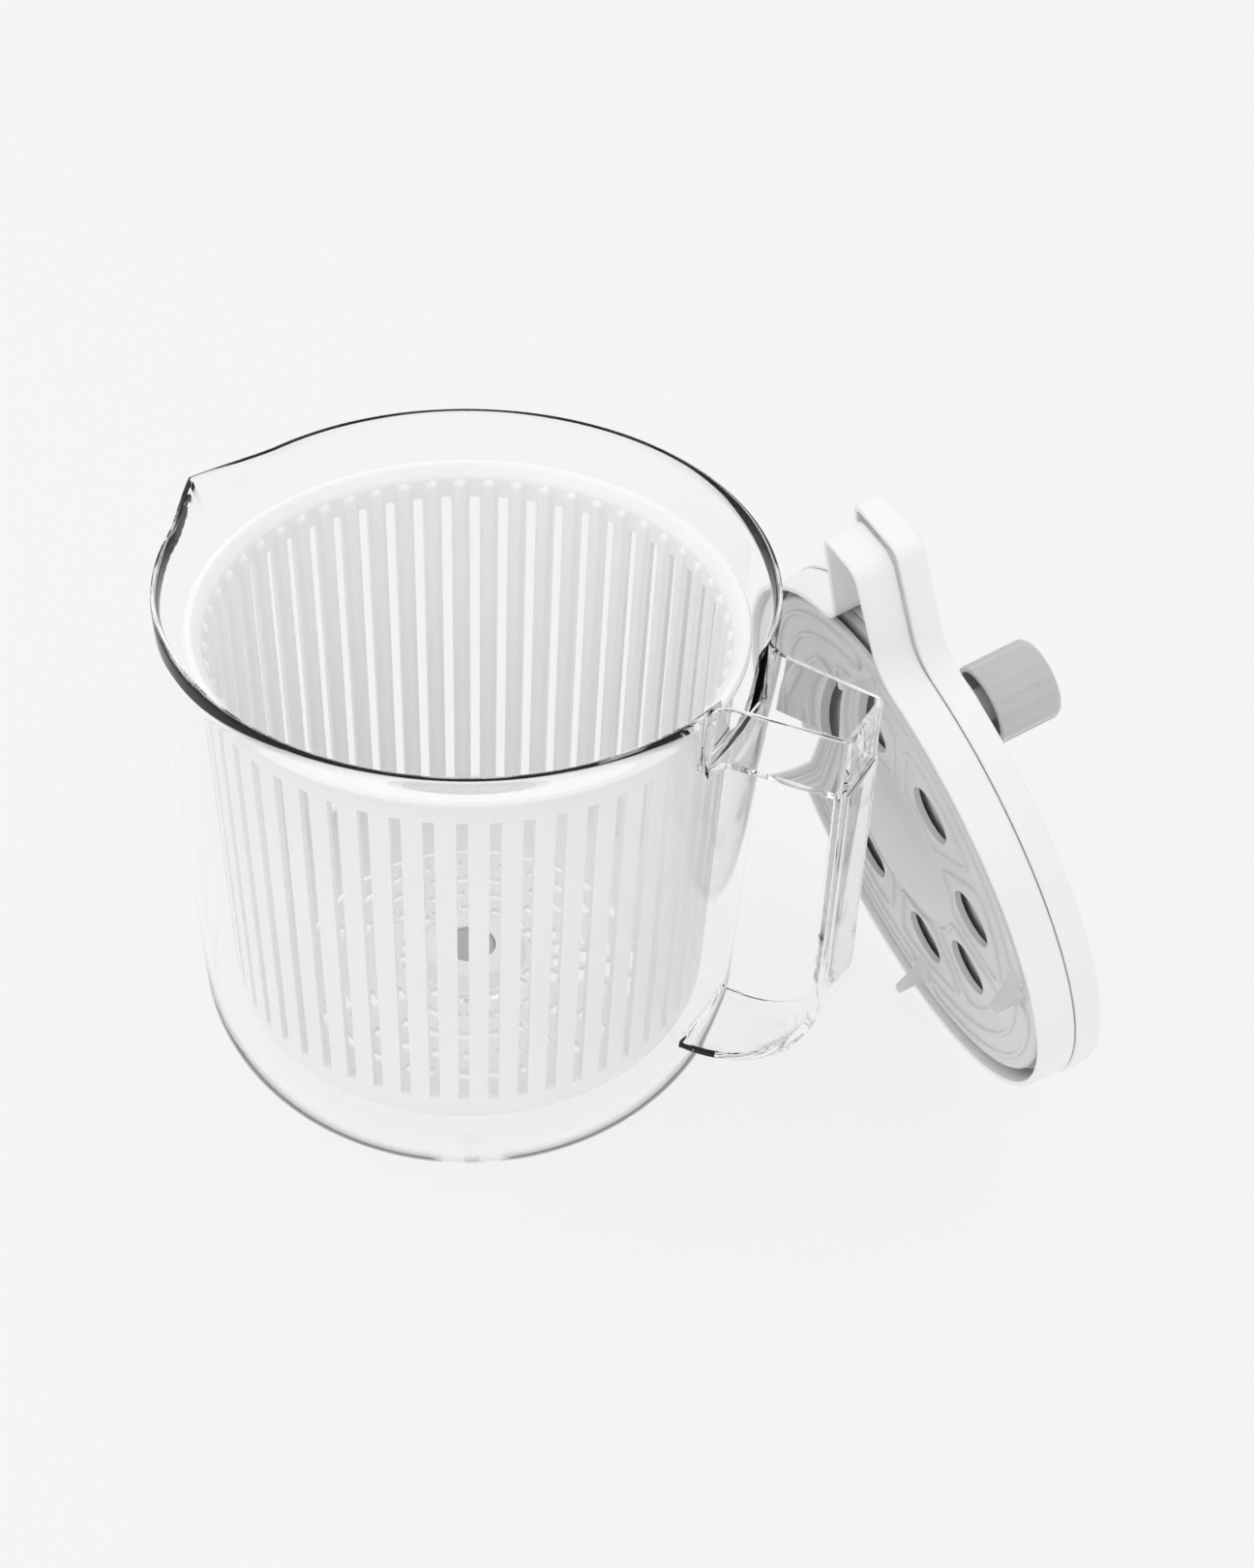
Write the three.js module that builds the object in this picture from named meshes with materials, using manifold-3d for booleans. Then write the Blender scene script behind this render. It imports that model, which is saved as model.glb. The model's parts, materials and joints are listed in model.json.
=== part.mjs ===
// Salad spinner. A clear pouring jug holds a slotted basket that spins on a pin in its floor, and
// the crank lid that drives the basket leans beside the jug. Millimetres, +Z up. The origin is the
// centre of the jug's base, the handle points along +X and the spout along -X.
import * as THREE from 'three';
import { mergeVertices } from 'three/addons/utils/BufferGeometryUtils.js';
import Module from 'manifold-3d';

const wasm = await Module();
wasm.setup();

const DEGREE = Math.PI / 180;
// Clearance between neighbouring pieces, and how far a cutting tool runs past the face it cuts.
const GAP = 0.3;
const OVERCUT = 1;

// Jug: a tapered bowl with a rounded foot, a spout, and a handle made of a trough over a loop.
const JUG_HEIGHT = 181;
const JUG_RIM_RADIUS = 92;
const JUG_FOOT_RADIUS = 84.4;
const JUG_WALL = 2.2;
const JUG_FLOOR = 3;
const JUG_CORNER = 36;
const JUG_SEGMENTS = 56;
const SPOUT_REACH = 8.3;
const SPOUT_HALF_ANGLE = 17 * DEGREE;
const SPOUT_DEPTH = 42;
const TROUGH_END = 128.5;
const TROUGH_ROOT_HALF_WIDTH = 15.6;
const TROUGH_END_HALF_WIDTH = 12;
const TROUGH_DEPTH = 21;
const TROUGH_WALL = 1.6;
const GRIP_THICKNESS = 3.2;
const GRIP_BEND = 40.5;
const GRIP_BOTTOM = 42;
const GRIP_WALL_HALF_WIDTH = 15;
const PIVOT_BOSS_RADIUS = 9;
const PIVOT_BOSS_TOP = 22;
const PIVOT_PIN_RADIUS = 2.5;
const PIVOT_PIN_BOTTOM = 4;
const PIVOT_PIN_TOP = 30;

// Basket: a tapered strainer that hangs clear of the jug and turns on the pivot pin.
const BASKET_RIM_RADIUS = 84;
const BASKET_TOP = 167;
const BASKET_RIM_HEIGHT = 3;
const BASKET_SHOULDER_RADIUS = 80.5;
const BASKET_LOWER_RADIUS = 76;
const BASKET_BOTTOM = 25;
const BASKET_FLOOR_RISE = 3;
const BASKET_WALL = 2;
const BASKET_CORNER = 14;
const BASKET_SLOTS = 54;
const BASKET_SLOT_WIDTH = 3.4;
const BASKET_SLOT_TOP = 156.3;
const BASKET_SLOT_BOTTOM = 41;
const BASKET_SEGMENTS = 54;
const FLOOR_RING_RADII = [22, 29, 37, 45, 53];
const FLOOR_SLOTS_PER_RING = 12;
const FLOOR_SLOT_WIDTH = 2.6;
const FLOOR_SLOT_FILL = 0.45;
const HUB_RADIUS = 18;
const HUB_BASE = BASKET_BOTTOM + BASKET_FLOOR_RISE;
const HUB_TOP = 34;
const BUSH_RADIUS = 8;
const BUSH_FLANGE_HEIGHT = 2;

// Lid: lean of its axis above the horizontal, heading of that axis, and turn of the tab from the top.
// With the lid on, the skirt drops inside the jug's rim and the cover's tab lies on the trough.
const LID_CENTRE = new THREE.Vector3(117.9, 63.3, 85.1);
const LID_TILT = 15.6 * DEGREE;
const LID_HEADING = 53.1 * DEGREE;
const LID_TURN = 2 * DEGREE;
const LID_OUTER = 89.2;
const LID_SKIRT_RADIUS = 88;
const LID_SKIRT_WALL = 1.8;
const LID_PARTING = 12;
const LID_CEILING = 18.2;
const LID_TOP = 21;
const LID_EDGE = 1.2;
const LID_SEGMENTS = 48;
const TAB_WALL = 1.6;
const TAB_ROOT = 92;
const COVER_TAB = { end: 130, rootHalfWidth: 16.8, endHalfWidth: 13.2 };
const SKIRT_TAB = { end: 126, rootHalfWidth: 13.4, endHalfWidth: 10 };
const GEARBOX_RADIUS = 84.6;
const GEARBOX_WALL = 2;
const PLATE_BOTTOM = 6.2;
const PLATE_TOP = 8.2;
const SCREW_CIRCLE = 64;
const SCREW_COUNT = 4;
const SCREW_RADIUS = 1.5;
const SCREW_HOLE_RADIUS = SCREW_RADIUS + GAP;
const SCREW_BOSS_RADIUS = 4;

// Gear train: an internal ring on the crank turns three idlers, which turn the pinion of the disc.
const MODULE = 1.5;
const PINION_TEETH = 18;
const IDLER_TEETH = 18;
const RING_TEETH = PINION_TEETH + 2 * IDLER_TEETH;
const IDLER_COUNT = 3;
const IDLER_CIRCLE = MODULE * (PINION_TEETH + IDLER_TEETH) / 2;
const GEAR_BOTTOM = 9.2;
const GEAR_TOP = 13.6;
const TOOTH_ADDENDUM = 1.1;
const TOOTH_DEDENDUM = 1.7;
const TOOTH_BACKLASH = 0.55;
const FLANK_SLOPE = Math.tan(20 * DEGREE);
const RING_OUTER = 46.5;
const RING_ROOF = 2.4;
const IDLER_PIN_RADIUS = 2;
const IDLER_PIN_HEAD_RADIUS = 3.4;
const IDLER_PIN_HEAD_BOTTOM = PLATE_BOTTOM - 0.9;
const PINION_NECK_RADIUS = 9;
const PINION_SCREW_SEAT = GEAR_TOP - 2.2;
const PINION_SCREW_HEAD_RADIUS = 3.6;
const WASHER_RADIUS = 15;
const SHAFT_RADIUS = 8;
const SHAFT_TOP = 25.5;

// Crank and knob.
const CRANK_ANGLE = 14 * DEGREE;
const CRANK_LENGTH = 57;
const CRANK_BOTTOM = 23;
const CRANK_TOP = 30;
const CRANK_ARM_TOP = 26.8;
const CRANK_HUB_RADIUS = 16;
const CRANK_END_RADIUS = 14;
const CRANK_CAP_RADIUS = 10;
const CRANK_SCREW_SEAT = SHAFT_TOP + 1.5;
const KNOB_RADIUS = 13.2;
const KNOB_BOTTOM = 30.2;
const KNOB_TOP = 51.6;
const KNOB_PIN_RADIUS = 3;
const KNOB_PIN_SOCKET = CRANK_BOTTOM + 0.8;
const KNOB_RECESS_BOTTOM = KNOB_TOP - 5;
const KNOB_CAP_RADIUS = 8;
const KNOB_BOSS_RADIUS = 5.5;
const KNOB_WALL = 1.8;
const KNOB_HOLLOW_TOP = KNOB_BOTTOM + 12;

// Drive disc: the plate under the lid whose lugs turn the basket.
const DISC_RADIUS = 82.9;
const DISC_BOTTOM = 2.2;
const DISC_TOP = 4.2;
const DISC_BOSS_RADIUS = 30;
const DISC_BOSS_BOTTOM = -0.6;
const DISC_HOLES = 8;
const DISC_HOLE_RADIUS = 9.6;
const DISC_HOLE_CIRCLE = 47;
// The holes stand a little off the lugs, round the disc.
const DISC_HOLE_TURN = -8;
const DISC_LUGS = 4;
const LUG_DEPTH = 11;
const LUG_INNER = 66;
const LUG_OUTER = 77;
const LUG_THICKNESS = 3;
const HEX_RADIUS = 7;

const CLEAR_PLASTIC = { color: 0xf4f6f6, roughness: 0.06, metalness: 0, transparent: true, opacity: 0.35 };
const WHITE_PLASTIC = { color: 0xf2f2f2, roughness: 0.4, metalness: 0 };
const BASKET_PLASTIC = { color: 0xeeeeee, roughness: 0.45, metalness: 0 };
const GREY_PLASTIC = { color: 0xcfd0d1, roughness: 0.35, metalness: 0 };
const GEAR_PLASTIC = { color: 0xe6e4dc, roughness: 0.5, metalness: 0 };
const PLATE_PLASTIC = { color: 0x6d6e70, roughness: 0.6, metalness: 0 };
const STEEL = { color: 0xb9bcc0, roughness: 0.3, metalness: 1 };

// Helpers ---------------------------------------------------------------------------------------

function toSolid(geometry) {
  const bare = new THREE.BufferGeometry();
  bare.setAttribute('position', geometry.getAttribute('position'));
  bare.setIndex(geometry.getIndex());
  const merged = mergeVertices(bare, 1e-4);
  const points = merged.getAttribute('position').array;
  const corners = merged.getIndex().array;
  const kept = [];
  for (let i = 0; i < corners.length; i += 3) {
    const [a, b, c] = corners.slice(i, i + 3);
    if (a !== b && b !== c && c !== a) kept.push(a, b, c);
  }
  const solid = (triangles) => new wasm.Manifold(new wasm.Mesh({
    numProp: 3,
    vertProperties: new Float32Array(points),
    triVerts: new Uint32Array(triangles),
  }));
  if (signedVolume(points, kept) > 0) return solid(kept);
  return solid(kept.reverse());
}

function signedVolume(points, triangles) {
  let total = 0;
  for (let i = 0; i < triangles.length; i += 3) {
    const [a, b, c] = [0, 1, 2].map((k) => new THREE.Vector3().fromArray(points, 3 * triangles[i + k]));
    total += a.dot(b.cross(c)) / 6;
  }
  return total;
}

function toMesh(name, solid, finish) {
  const { vertProperties, triVerts } = solid.getMesh();
  const geometry = new THREE.BufferGeometry();
  geometry.setAttribute('position', new THREE.BufferAttribute(new Float32Array(vertProperties), 3));
  geometry.setIndex(new THREE.BufferAttribute(new Uint32Array(triVerts), 1));
  const mesh = new THREE.Mesh(geometry, new THREE.MeshStandardMaterial(finish));
  mesh.name = name;
  return mesh;
}

// A turned solid: the profile is a list of [radius, height] points that closes on itself or the axis.
function turned(profile, segments = 48, reshape = null) {
  const outline = profile.map(([radius, height]) => new THREE.Vector2(radius, height));
  if (profile[0][0] > 0) outline.push(outline[0].clone());
  const geometry = new THREE.LatheGeometry(outline, segments);
  geometry.rotateX(Math.PI / 2);
  if (reshape) reshape(geometry.getAttribute('position'));
  return toSolid(geometry);
}

function disc(radius, bottom, top, segments = 32) {
  return turned([[0, bottom], [radius, bottom], [radius, top], [0, top]], segments);
}

function ring(inner, outer, bottom, top, segments = 48) {
  return turned([[inner, bottom], [outer, bottom], [outer, top], [inner, top]], segments);
}

function prism(points, bottom, top) {
  const shape = new THREE.Shape(points.map(([x, y]) => new THREE.Vector2(x, y)));
  const geometry = new THREE.ExtrudeGeometry(shape, { depth: top - bottom, bevelEnabled: false });
  geometry.translate(0, 0, bottom);
  return toSolid(indexed(geometry));
}

function block(lowX, highX, lowY, highY, lowZ, highZ) {
  return prism([[lowX, lowY], [highX, lowY], [highX, highY], [lowX, highY]], lowZ, highZ);
}

function indexed(geometry) {
  return mergeVertices(geometry, 1e-4);
}

// A quarter or other arc of [x, y] points, ends included.
function arc(centreX, centreY, radius, fromDegrees, toDegrees, steps) {
  const points = [];
  for (let i = 0; i <= steps; i += 1) {
    const angle = (fromDegrees + (toDegrees - fromDegrees) * i / steps) * DEGREE;
    points.push([centreX + radius * Math.cos(angle), centreY + radius * Math.sin(angle)]);
  }
  return points;
}

// A trapezoid along the X axis from start to end, with its half width given by a formula.
function tapered(start, end, halfWidthAt) {
  return [
    [start, -halfWidthAt(start)], [end, -halfWidthAt(end)],
    [end, halfWidthAt(end)], [start, halfWidthAt(start)],
  ];
}

function turnedBy(solid, degrees) {
  return solid.rotate([0, 0, degrees]);
}

function movedBy(solid, x, y, z) {
  return solid.translate([x, y, z]);
}

// Jug -------------------------------------------------------------------------------------------

function jugRadiusAt(height) {
  return JUG_FOOT_RADIUS + (JUG_RIM_RADIUS - JUG_FOOT_RADIUS) * height / JUG_HEIGHT;
}

// Pulls a turned bowl out towards -X near its rim, into the spout.
function drawSpout(position) {
  for (let i = 0; i < position.count; i += 1) {
    const [x, y, z] = [position.getX(i), position.getY(i), position.getZ(i)];
    const radius = Math.hypot(x, y);
    const away = Math.abs(Math.atan2(y, -x)) / SPOUT_HALF_ANGLE;
    const rise = (z - JUG_HEIGHT + SPOUT_DEPTH) / SPOUT_DEPTH;
    if (radius < JUG_FOOT_RADIUS / 2 || away >= 1 || rise <= 0) continue;
    const reach = SPOUT_REACH * (1 - away) ** 1.5 * rise ** 1.6;
    position.setX(i, x * (1 + reach / radius));
    position.setY(i, y * (1 + reach / radius));
  }
}

function bowl(inset, bottom, top) {
  const corner = JUG_CORNER - inset;
  const cornerHeight = bottom + corner;
  const cornerX = jugRadiusAt(JUG_CORNER) - JUG_CORNER;
  const wallHeights = [0.4, 0.72, 0.84, 0.93, 1];
  const wall = wallHeights.map((share) => {
    const height = cornerHeight + (top - cornerHeight) * share;
    return [jugRadiusAt(height) - inset, height];
  });
  const profile = [[0, bottom], ...arc(cornerX, cornerHeight, corner, -90, 0, 4), ...wall, [0, top]];
  return turned(profile, JUG_SEGMENTS, drawSpout);
}

function troughOutline(inset, start) {
  const slope = (TROUGH_ROOT_HALF_WIDTH - TROUGH_END_HALF_WIDTH) / (TROUGH_END - JUG_RIM_RADIUS);
  const halfWidthAt = (x) => TROUGH_END_HALF_WIDTH + slope * (TROUGH_END - x) - inset;
  return tapered(start, TROUGH_END - inset, halfWidthAt);
}

// The loop under the trough: a flat strip that drops from the trough's end and bends to the wall.
function gripStrip() {
  const top = JUG_HEIGHT - TROUGH_DEPTH + TROUGH_WALL;
  const bendX = TROUGH_END - GRIP_BEND;
  const bendZ = GRIP_BOTTOM + GRIP_BEND;
  const root = JUG_FOOT_RADIUS - 3;
  const side = [
    [root, GRIP_BOTTOM],
    ...arc(bendX, bendZ, GRIP_BEND, -90, 0, 10),
    [TROUGH_END, top],
    [TROUGH_END - GRIP_THICKNESS, top],
    ...arc(bendX, bendZ, GRIP_BEND - GRIP_THICKNESS, 0, -90, 10),
    [root, GRIP_BOTTOM + GRIP_THICKNESS],
  ];
  const upright = prism(side, -GRIP_WALL_HALF_WIDTH, GRIP_WALL_HALF_WIDTH).rotate([90, 0, 0]);
  const plan = prism([
    [root, -GRIP_WALL_HALF_WIDTH],
    [TROUGH_END - GRIP_BEND, -GRIP_WALL_HALF_WIDTH + 1],
    [TROUGH_END - 8, -TROUGH_END_HALF_WIDTH - 0.4],
    [TROUGH_END, -TROUGH_END_HALF_WIDTH],
    [TROUGH_END, TROUGH_END_HALF_WIDTH],
    [TROUGH_END - 8, TROUGH_END_HALF_WIDTH + 0.4],
    [TROUGH_END - GRIP_BEND, GRIP_WALL_HALF_WIDTH - 1],
    [root, GRIP_WALL_HALF_WIDTH],
  ], 0, JUG_HEIGHT);
  return upright.intersect(plan);
}

function makeJug() {
  const troughFloor = JUG_HEIGHT - TROUGH_DEPTH;
  const trough = prism(troughOutline(0, JUG_RIM_RADIUS - 6), troughFloor, JUG_HEIGHT);
  const troughSpace = prism(
    troughOutline(TROUGH_WALL, JUG_RIM_RADIUS - 12), troughFloor + TROUGH_WALL, JUG_HEIGHT + OVERCUT,
  );
  const shell = bowl(0, 0, JUG_HEIGHT).add(trough).add(gripStrip());
  const hollow = bowl(JUG_WALL, JUG_FLOOR, JUG_HEIGHT + OVERCUT);
  const boss = turned([
    [0, JUG_FLOOR - 1], [PIVOT_BOSS_RADIUS + 4, JUG_FLOOR - 1], [PIVOT_BOSS_RADIUS, PIVOT_BOSS_TOP],
    [0, PIVOT_BOSS_TOP],
  ]);
  const pinHole = disc(PIVOT_PIN_RADIUS + GAP, PIVOT_PIN_BOTTOM - GAP, PIVOT_BOSS_TOP + OVERCUT, 16);
  const jug = shell.subtract(hollow).subtract(troughSpace).add(boss).subtract(pinHole);
  return toMesh('jug', jug, CLEAR_PLASTIC);
}

function makePivotPin() {
  const tip = PIVOT_PIN_TOP - 1.5;
  const pin = turned([
    [0, PIVOT_PIN_BOTTOM], [PIVOT_PIN_RADIUS, PIVOT_PIN_BOTTOM], [PIVOT_PIN_RADIUS, tip],
    [PIVOT_PIN_RADIUS * 0.5, PIVOT_PIN_TOP], [0, PIVOT_PIN_TOP],
  ], 16);
  return toMesh('pivot_pin', pin, STEEL);
}

// Basket ----------------------------------------------------------------------------------------

function basketRadiusAt(height) {
  const low = BASKET_BOTTOM + BASKET_CORNER;
  const high = BASKET_SLOT_TOP + 5;
  return BASKET_LOWER_RADIUS + (BASKET_SHOULDER_RADIUS - BASKET_LOWER_RADIUS) * (height - low) / (high - low);
}

function basketShell() {
  const cornerZ = BASKET_BOTTOM + BASKET_CORNER;
  const cornerX = BASKET_LOWER_RADIUS - BASKET_CORNER;
  const shoulder = BASKET_SLOT_TOP + 5;
  const rimBottom = BASKET_TOP - BASKET_RIM_HEIGHT;
  const outer = [
    [HUB_RADIUS - 4, HUB_BASE],
    ...arc(cornerX, cornerZ, BASKET_CORNER, -90, 0, 3),
    [basketRadiusAt(shoulder), shoulder],
    [BASKET_RIM_RADIUS - 2, rimBottom],
    [BASKET_RIM_RADIUS, rimBottom],
    [BASKET_RIM_RADIUS, BASKET_TOP],
  ];
  const inner = [
    [BASKET_RIM_RADIUS - 3, BASKET_TOP],
    [basketRadiusAt(shoulder) - BASKET_WALL, shoulder],
    ...arc(cornerX, cornerZ, BASKET_CORNER - BASKET_WALL, 0, -90, 3),
    [HUB_RADIUS, HUB_BASE + BASKET_WALL],
    [HUB_RADIUS - 2, HUB_TOP],
    [BUSH_RADIUS + GAP, HUB_TOP],
    [BUSH_RADIUS + GAP, HUB_BASE + BUSH_FLANGE_HEIGHT + GAP],
    [HUB_RADIUS - 4, HUB_BASE + BUSH_FLANGE_HEIGHT + GAP],
  ];
  return turned([...outer, ...inner], BASKET_SEGMENTS);
}

function makeBasket() {
  let basket = basketShell();
  const half = BASKET_SLOT_WIDTH / 2;
  const slot = block(
    BASKET_LOWER_RADIUS - 8, BASKET_RIM_RADIUS, -half, half, BASKET_SLOT_BOTTOM, BASKET_SLOT_TOP,
  );
  for (let i = 0; i < BASKET_SLOTS; i += 1) {
    basket = basket.subtract(turnedBy(slot, 360 * (i + 0.5) / BASKET_SLOTS));
  }
  FLOOR_RING_RADII.forEach((radius, row) => {
    const count = FLOOR_SLOTS_PER_RING;
    const halfLength = Math.PI * radius / count * FLOOR_SLOT_FILL;
    const halfWidth = FLOOR_SLOT_WIDTH / 2;
    const cut = block(
      radius - halfWidth, radius + halfWidth, -halfLength, halfLength,
      BASKET_BOTTOM - OVERCUT, HUB_BASE + BASKET_WALL + OVERCUT,
    );
    for (let i = 0; i < count; i += 1) {
      basket = basket.subtract(turnedBy(cut, 360 * (i + (row % 2) / 2) / count));
    }
  });
  return toMesh('basket', basket, BASKET_PLASTIC);
}

// The bearing cup in the basket's hub, closed at the top so that it rests on the pin's tip.
function makePivotBush() {
  const bore = PIVOT_PIN_RADIUS + GAP;
  const flangeTop = HUB_BASE + BUSH_FLANGE_HEIGHT;
  const bush = turned([
    [bore, HUB_BASE + GAP], [HUB_RADIUS - 5, HUB_BASE + GAP], [HUB_RADIUS - 5, flangeTop],
    [BUSH_RADIUS, flangeTop], [BUSH_RADIUS, HUB_TOP - 1], [0, HUB_TOP - 1],
    [0, PIVOT_PIN_TOP + GAP], [bore, PIVOT_PIN_TOP + GAP],
  ].reverse(), 24);
  return toMesh('pivot_bush', bush, GREY_PLASTIC);
}

// Lid shells ------------------------------------------------------------------------------------

function tabOutline(tab, inset, start) {
  const slope = (tab.rootHalfWidth - tab.endHalfWidth) / (tab.end - TAB_ROOT);
  const halfWidthAt = (x) => tab.endHalfWidth + slope * (tab.end - x) - inset;
  return tapered(start, tab.end - inset, halfWidthAt);
}

function screwPlaces() {
  return Array.from({ length: SCREW_COUNT }, (_, i) => {
    const angle = (i + 0.5) * 2 * Math.PI / SCREW_COUNT;
    return [SCREW_CIRCLE * Math.cos(angle), SCREW_CIRCLE * Math.sin(angle)];
  });
}

function makeLidCover() {
  const low = LID_PARTING + GAP;
  const inside = LID_OUTER - LID_SKIRT_WALL;
  const dome = turned([
    [0, LID_CEILING], [inside, LID_CEILING], [inside, low], [LID_OUTER, low],
    ...arc(LID_OUTER - LID_EDGE, LID_TOP - LID_EDGE, LID_EDGE, 0, 90, 2), [0, LID_TOP],
  ], LID_SEGMENTS);
  const tab = prism(tabOutline(COVER_TAB, 0, GEARBOX_RADIUS), low, LID_TOP)
    .subtract(disc(inside, low - 1, LID_CEILING, LID_SEGMENTS));
  const tabSpace = prism(tabOutline(COVER_TAB, TAB_WALL, GEARBOX_RADIUS + 1), low - 1, LID_CEILING);
  const gearboxWall = ring(
    GEARBOX_RADIUS - GEARBOX_WALL, GEARBOX_RADIUS, PLATE_TOP + GAP, LID_CEILING + OVERCUT, LID_SEGMENTS,
  );
  const collar = disc(SHAFT_RADIUS + 4, LID_TOP - 1, CRANK_BOTTOM - 0.5, 28);
  let cover = dome.add(tab).subtract(tabSpace).add(gearboxWall).add(collar);
  cover = cover.subtract(disc(SHAFT_RADIUS + GAP, 0, LID_TOP + 5, 28));
  for (const [x, y] of screwPlaces()) {
    cover = cover.add(movedBy(disc(SCREW_BOSS_RADIUS, PLATE_TOP + GAP, LID_CEILING + OVERCUT, 14), x, y, 0));
    const screwHole = disc(SCREW_HOLE_RADIUS, PLATE_TOP - OVERCUT, LID_CEILING - 1, 10);
    cover = cover.subtract(movedBy(screwHole, x, y, 0));
  }
  return toMesh('lid_cover', cover, WHITE_PLASTIC);
}

// The ring under the cover. Its thin upper edge stands inside the cover's wall, and its own tab is
// narrower than the cover's, so that it drops into the trough.
function makeLidSkirt() {
  const upright = LID_OUTER - LID_SKIRT_WALL - GAP;
  const inside = LID_SKIRT_RADIUS - LID_SKIRT_WALL;
  const wall = turned([
    [inside, 0], [LID_SKIRT_RADIUS - 0.5, 0], [LID_SKIRT_RADIUS, 0.6],
    [LID_SKIRT_RADIUS + 0.8, LID_PARTING - 0.8], [LID_SKIRT_RADIUS + 0.4, LID_PARTING],
    [upright, LID_PARTING], [upright, LID_CEILING - GAP],
    [upright - 0.9, LID_CEILING - GAP], [upright - 0.9, LID_PARTING - 1],
  ], LID_SEGMENTS);
  const tab = prism(tabOutline(SKIRT_TAB, 0, GEARBOX_RADIUS), 0, LID_PARTING)
    .subtract(disc(inside, -1, LID_TOP, LID_SEGMENTS));
  const mouth = prism(tabOutline(SKIRT_TAB, TAB_WALL, GEARBOX_RADIUS), -1, LID_TOP);
  const coverTab = prism(tabOutline(COVER_TAB, -GAP, GEARBOX_RADIUS), LID_PARTING, LID_TOP);
  return toMesh('lid_skirt', wall.subtract(coverTab).add(tab).subtract(mouth), WHITE_PLASTIC);
}

function makeGearPlate() {
  let plate = disc(GEARBOX_RADIUS, PLATE_BOTTOM, PLATE_TOP, LID_SEGMENTS);
  plate = plate.subtract(disc(PINION_NECK_RADIUS + GAP, 0, LID_TOP, 28));
  for (const [x, y] of screwPlaces()) {
    plate = plate.subtract(movedBy(disc(SCREW_HOLE_RADIUS, 0, LID_TOP, 10), x, y, 0));
  }
  for (const [x, y] of idlerPlaces()) {
    plate = plate.subtract(movedBy(disc(IDLER_PIN_RADIUS + GAP, 0, LID_TOP, 14), x, y, 0));
  }
  return toMesh('gear_plate', plate, PLATE_PLASTIC);
}

function makeCoverScrew(number, [x, y]) {
  const head = turned([
    [0, PLATE_BOTTOM - 1.3], [2.4, PLATE_BOTTOM - 1.3], [3.2, PLATE_BOTTOM - 0.8], [3.2, PLATE_BOTTOM - GAP],
    [0, PLATE_BOTTOM - GAP],
  ], 14);
  const screw = head.add(disc(SCREW_RADIUS, PLATE_BOTTOM - 1, LID_CEILING - 1.5, 10));
  const mesh = toMesh(`cover_screw_${number}`, screw, STEEL);
  mesh.position.set(x, y, 0);
  return mesh;
}

// Gears -----------------------------------------------------------------------------------------

function idlerPlaces() {
  return Array.from({ length: IDLER_COUNT }, (_, i) => {
    const angle = i * 2 * Math.PI / IDLER_COUNT;
    return [IDLER_CIRCLE * Math.cos(angle), IDLER_CIRCLE * Math.sin(angle)];
  });
}

// Tooth outline of a gear whose first tooth is centred on the X axis. Outward is 1 for a spur gear
// and -1 for an internal ring, whose teeth point inwards.
function gearOutline(teeth, outward) {
  const pitchRadius = MODULE * teeth / 2;
  const halfThickness = (Math.PI * MODULE / 2 - TOOTH_BACKLASH) / 2;
  const tip = [pitchRadius + outward * TOOTH_ADDENDUM, halfThickness - TOOTH_ADDENDUM * FLANK_SLOPE];
  const root = [pitchRadius - outward * TOOTH_DEDENDUM, halfThickness + TOOTH_DEDENDUM * FLANK_SLOPE * 0.6];
  const points = [];
  for (let i = 0; i < teeth; i += 1) {
    const centre = 2 * Math.PI * i / teeth;
    for (const [[radius, half], side] of [[root, -1], [tip, -1], [tip, 1], [root, 1]]) {
      const angle = centre + side * half / radius;
      points.push([radius * Math.cos(angle), radius * Math.sin(angle)]);
    }
  }
  return points;
}

function makeRingGear() {
  const cup = disc(RING_OUTER, GEAR_BOTTOM, GEAR_TOP + RING_ROOF, RING_TEETH);
  const teeth = prism(gearOutline(RING_TEETH, -1), GEAR_BOTTOM - OVERCUT, GEAR_TOP + GAP);
  const shaft = disc(SHAFT_RADIUS, GEAR_TOP + 1, SHAFT_TOP, 28);
  const screwHole = disc(SCREW_HOLE_RADIUS, LID_CEILING, SHAFT_TOP + OVERCUT, 10);
  return toMesh('ring_gear', cup.subtract(teeth).add(shaft).subtract(screwHole), GEAR_PLASTIC);
}

function makeIdlerGear(number, [x, y], turn) {
  const gear = turnedBy(prism(gearOutline(IDLER_TEETH, 1), GEAR_BOTTOM, GEAR_TOP), turn);
  const bore = disc(IDLER_PIN_RADIUS + GAP, 0, LID_TOP, 14);
  const mesh = toMesh(`idler_gear_${number}`, gear.subtract(bore), GEAR_PLASTIC);
  mesh.position.set(x, y, 0);
  return mesh;
}

function makeIdlerPin(number, [x, y]) {
  const pin = disc(IDLER_PIN_RADIUS, IDLER_PIN_HEAD_BOTTOM, GEAR_TOP - GAP, 14)
    .add(disc(IDLER_PIN_HEAD_RADIUS, IDLER_PIN_HEAD_BOTTOM, PLATE_BOTTOM - GAP, 14));
  const mesh = toMesh(`idler_pin_${number}`, pin, STEEL);
  mesh.position.set(x, y, 0);
  return mesh;
}

function hexagon(radius) {
  return arc(0, 0, radius, 0, 300, 5);
}

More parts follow.
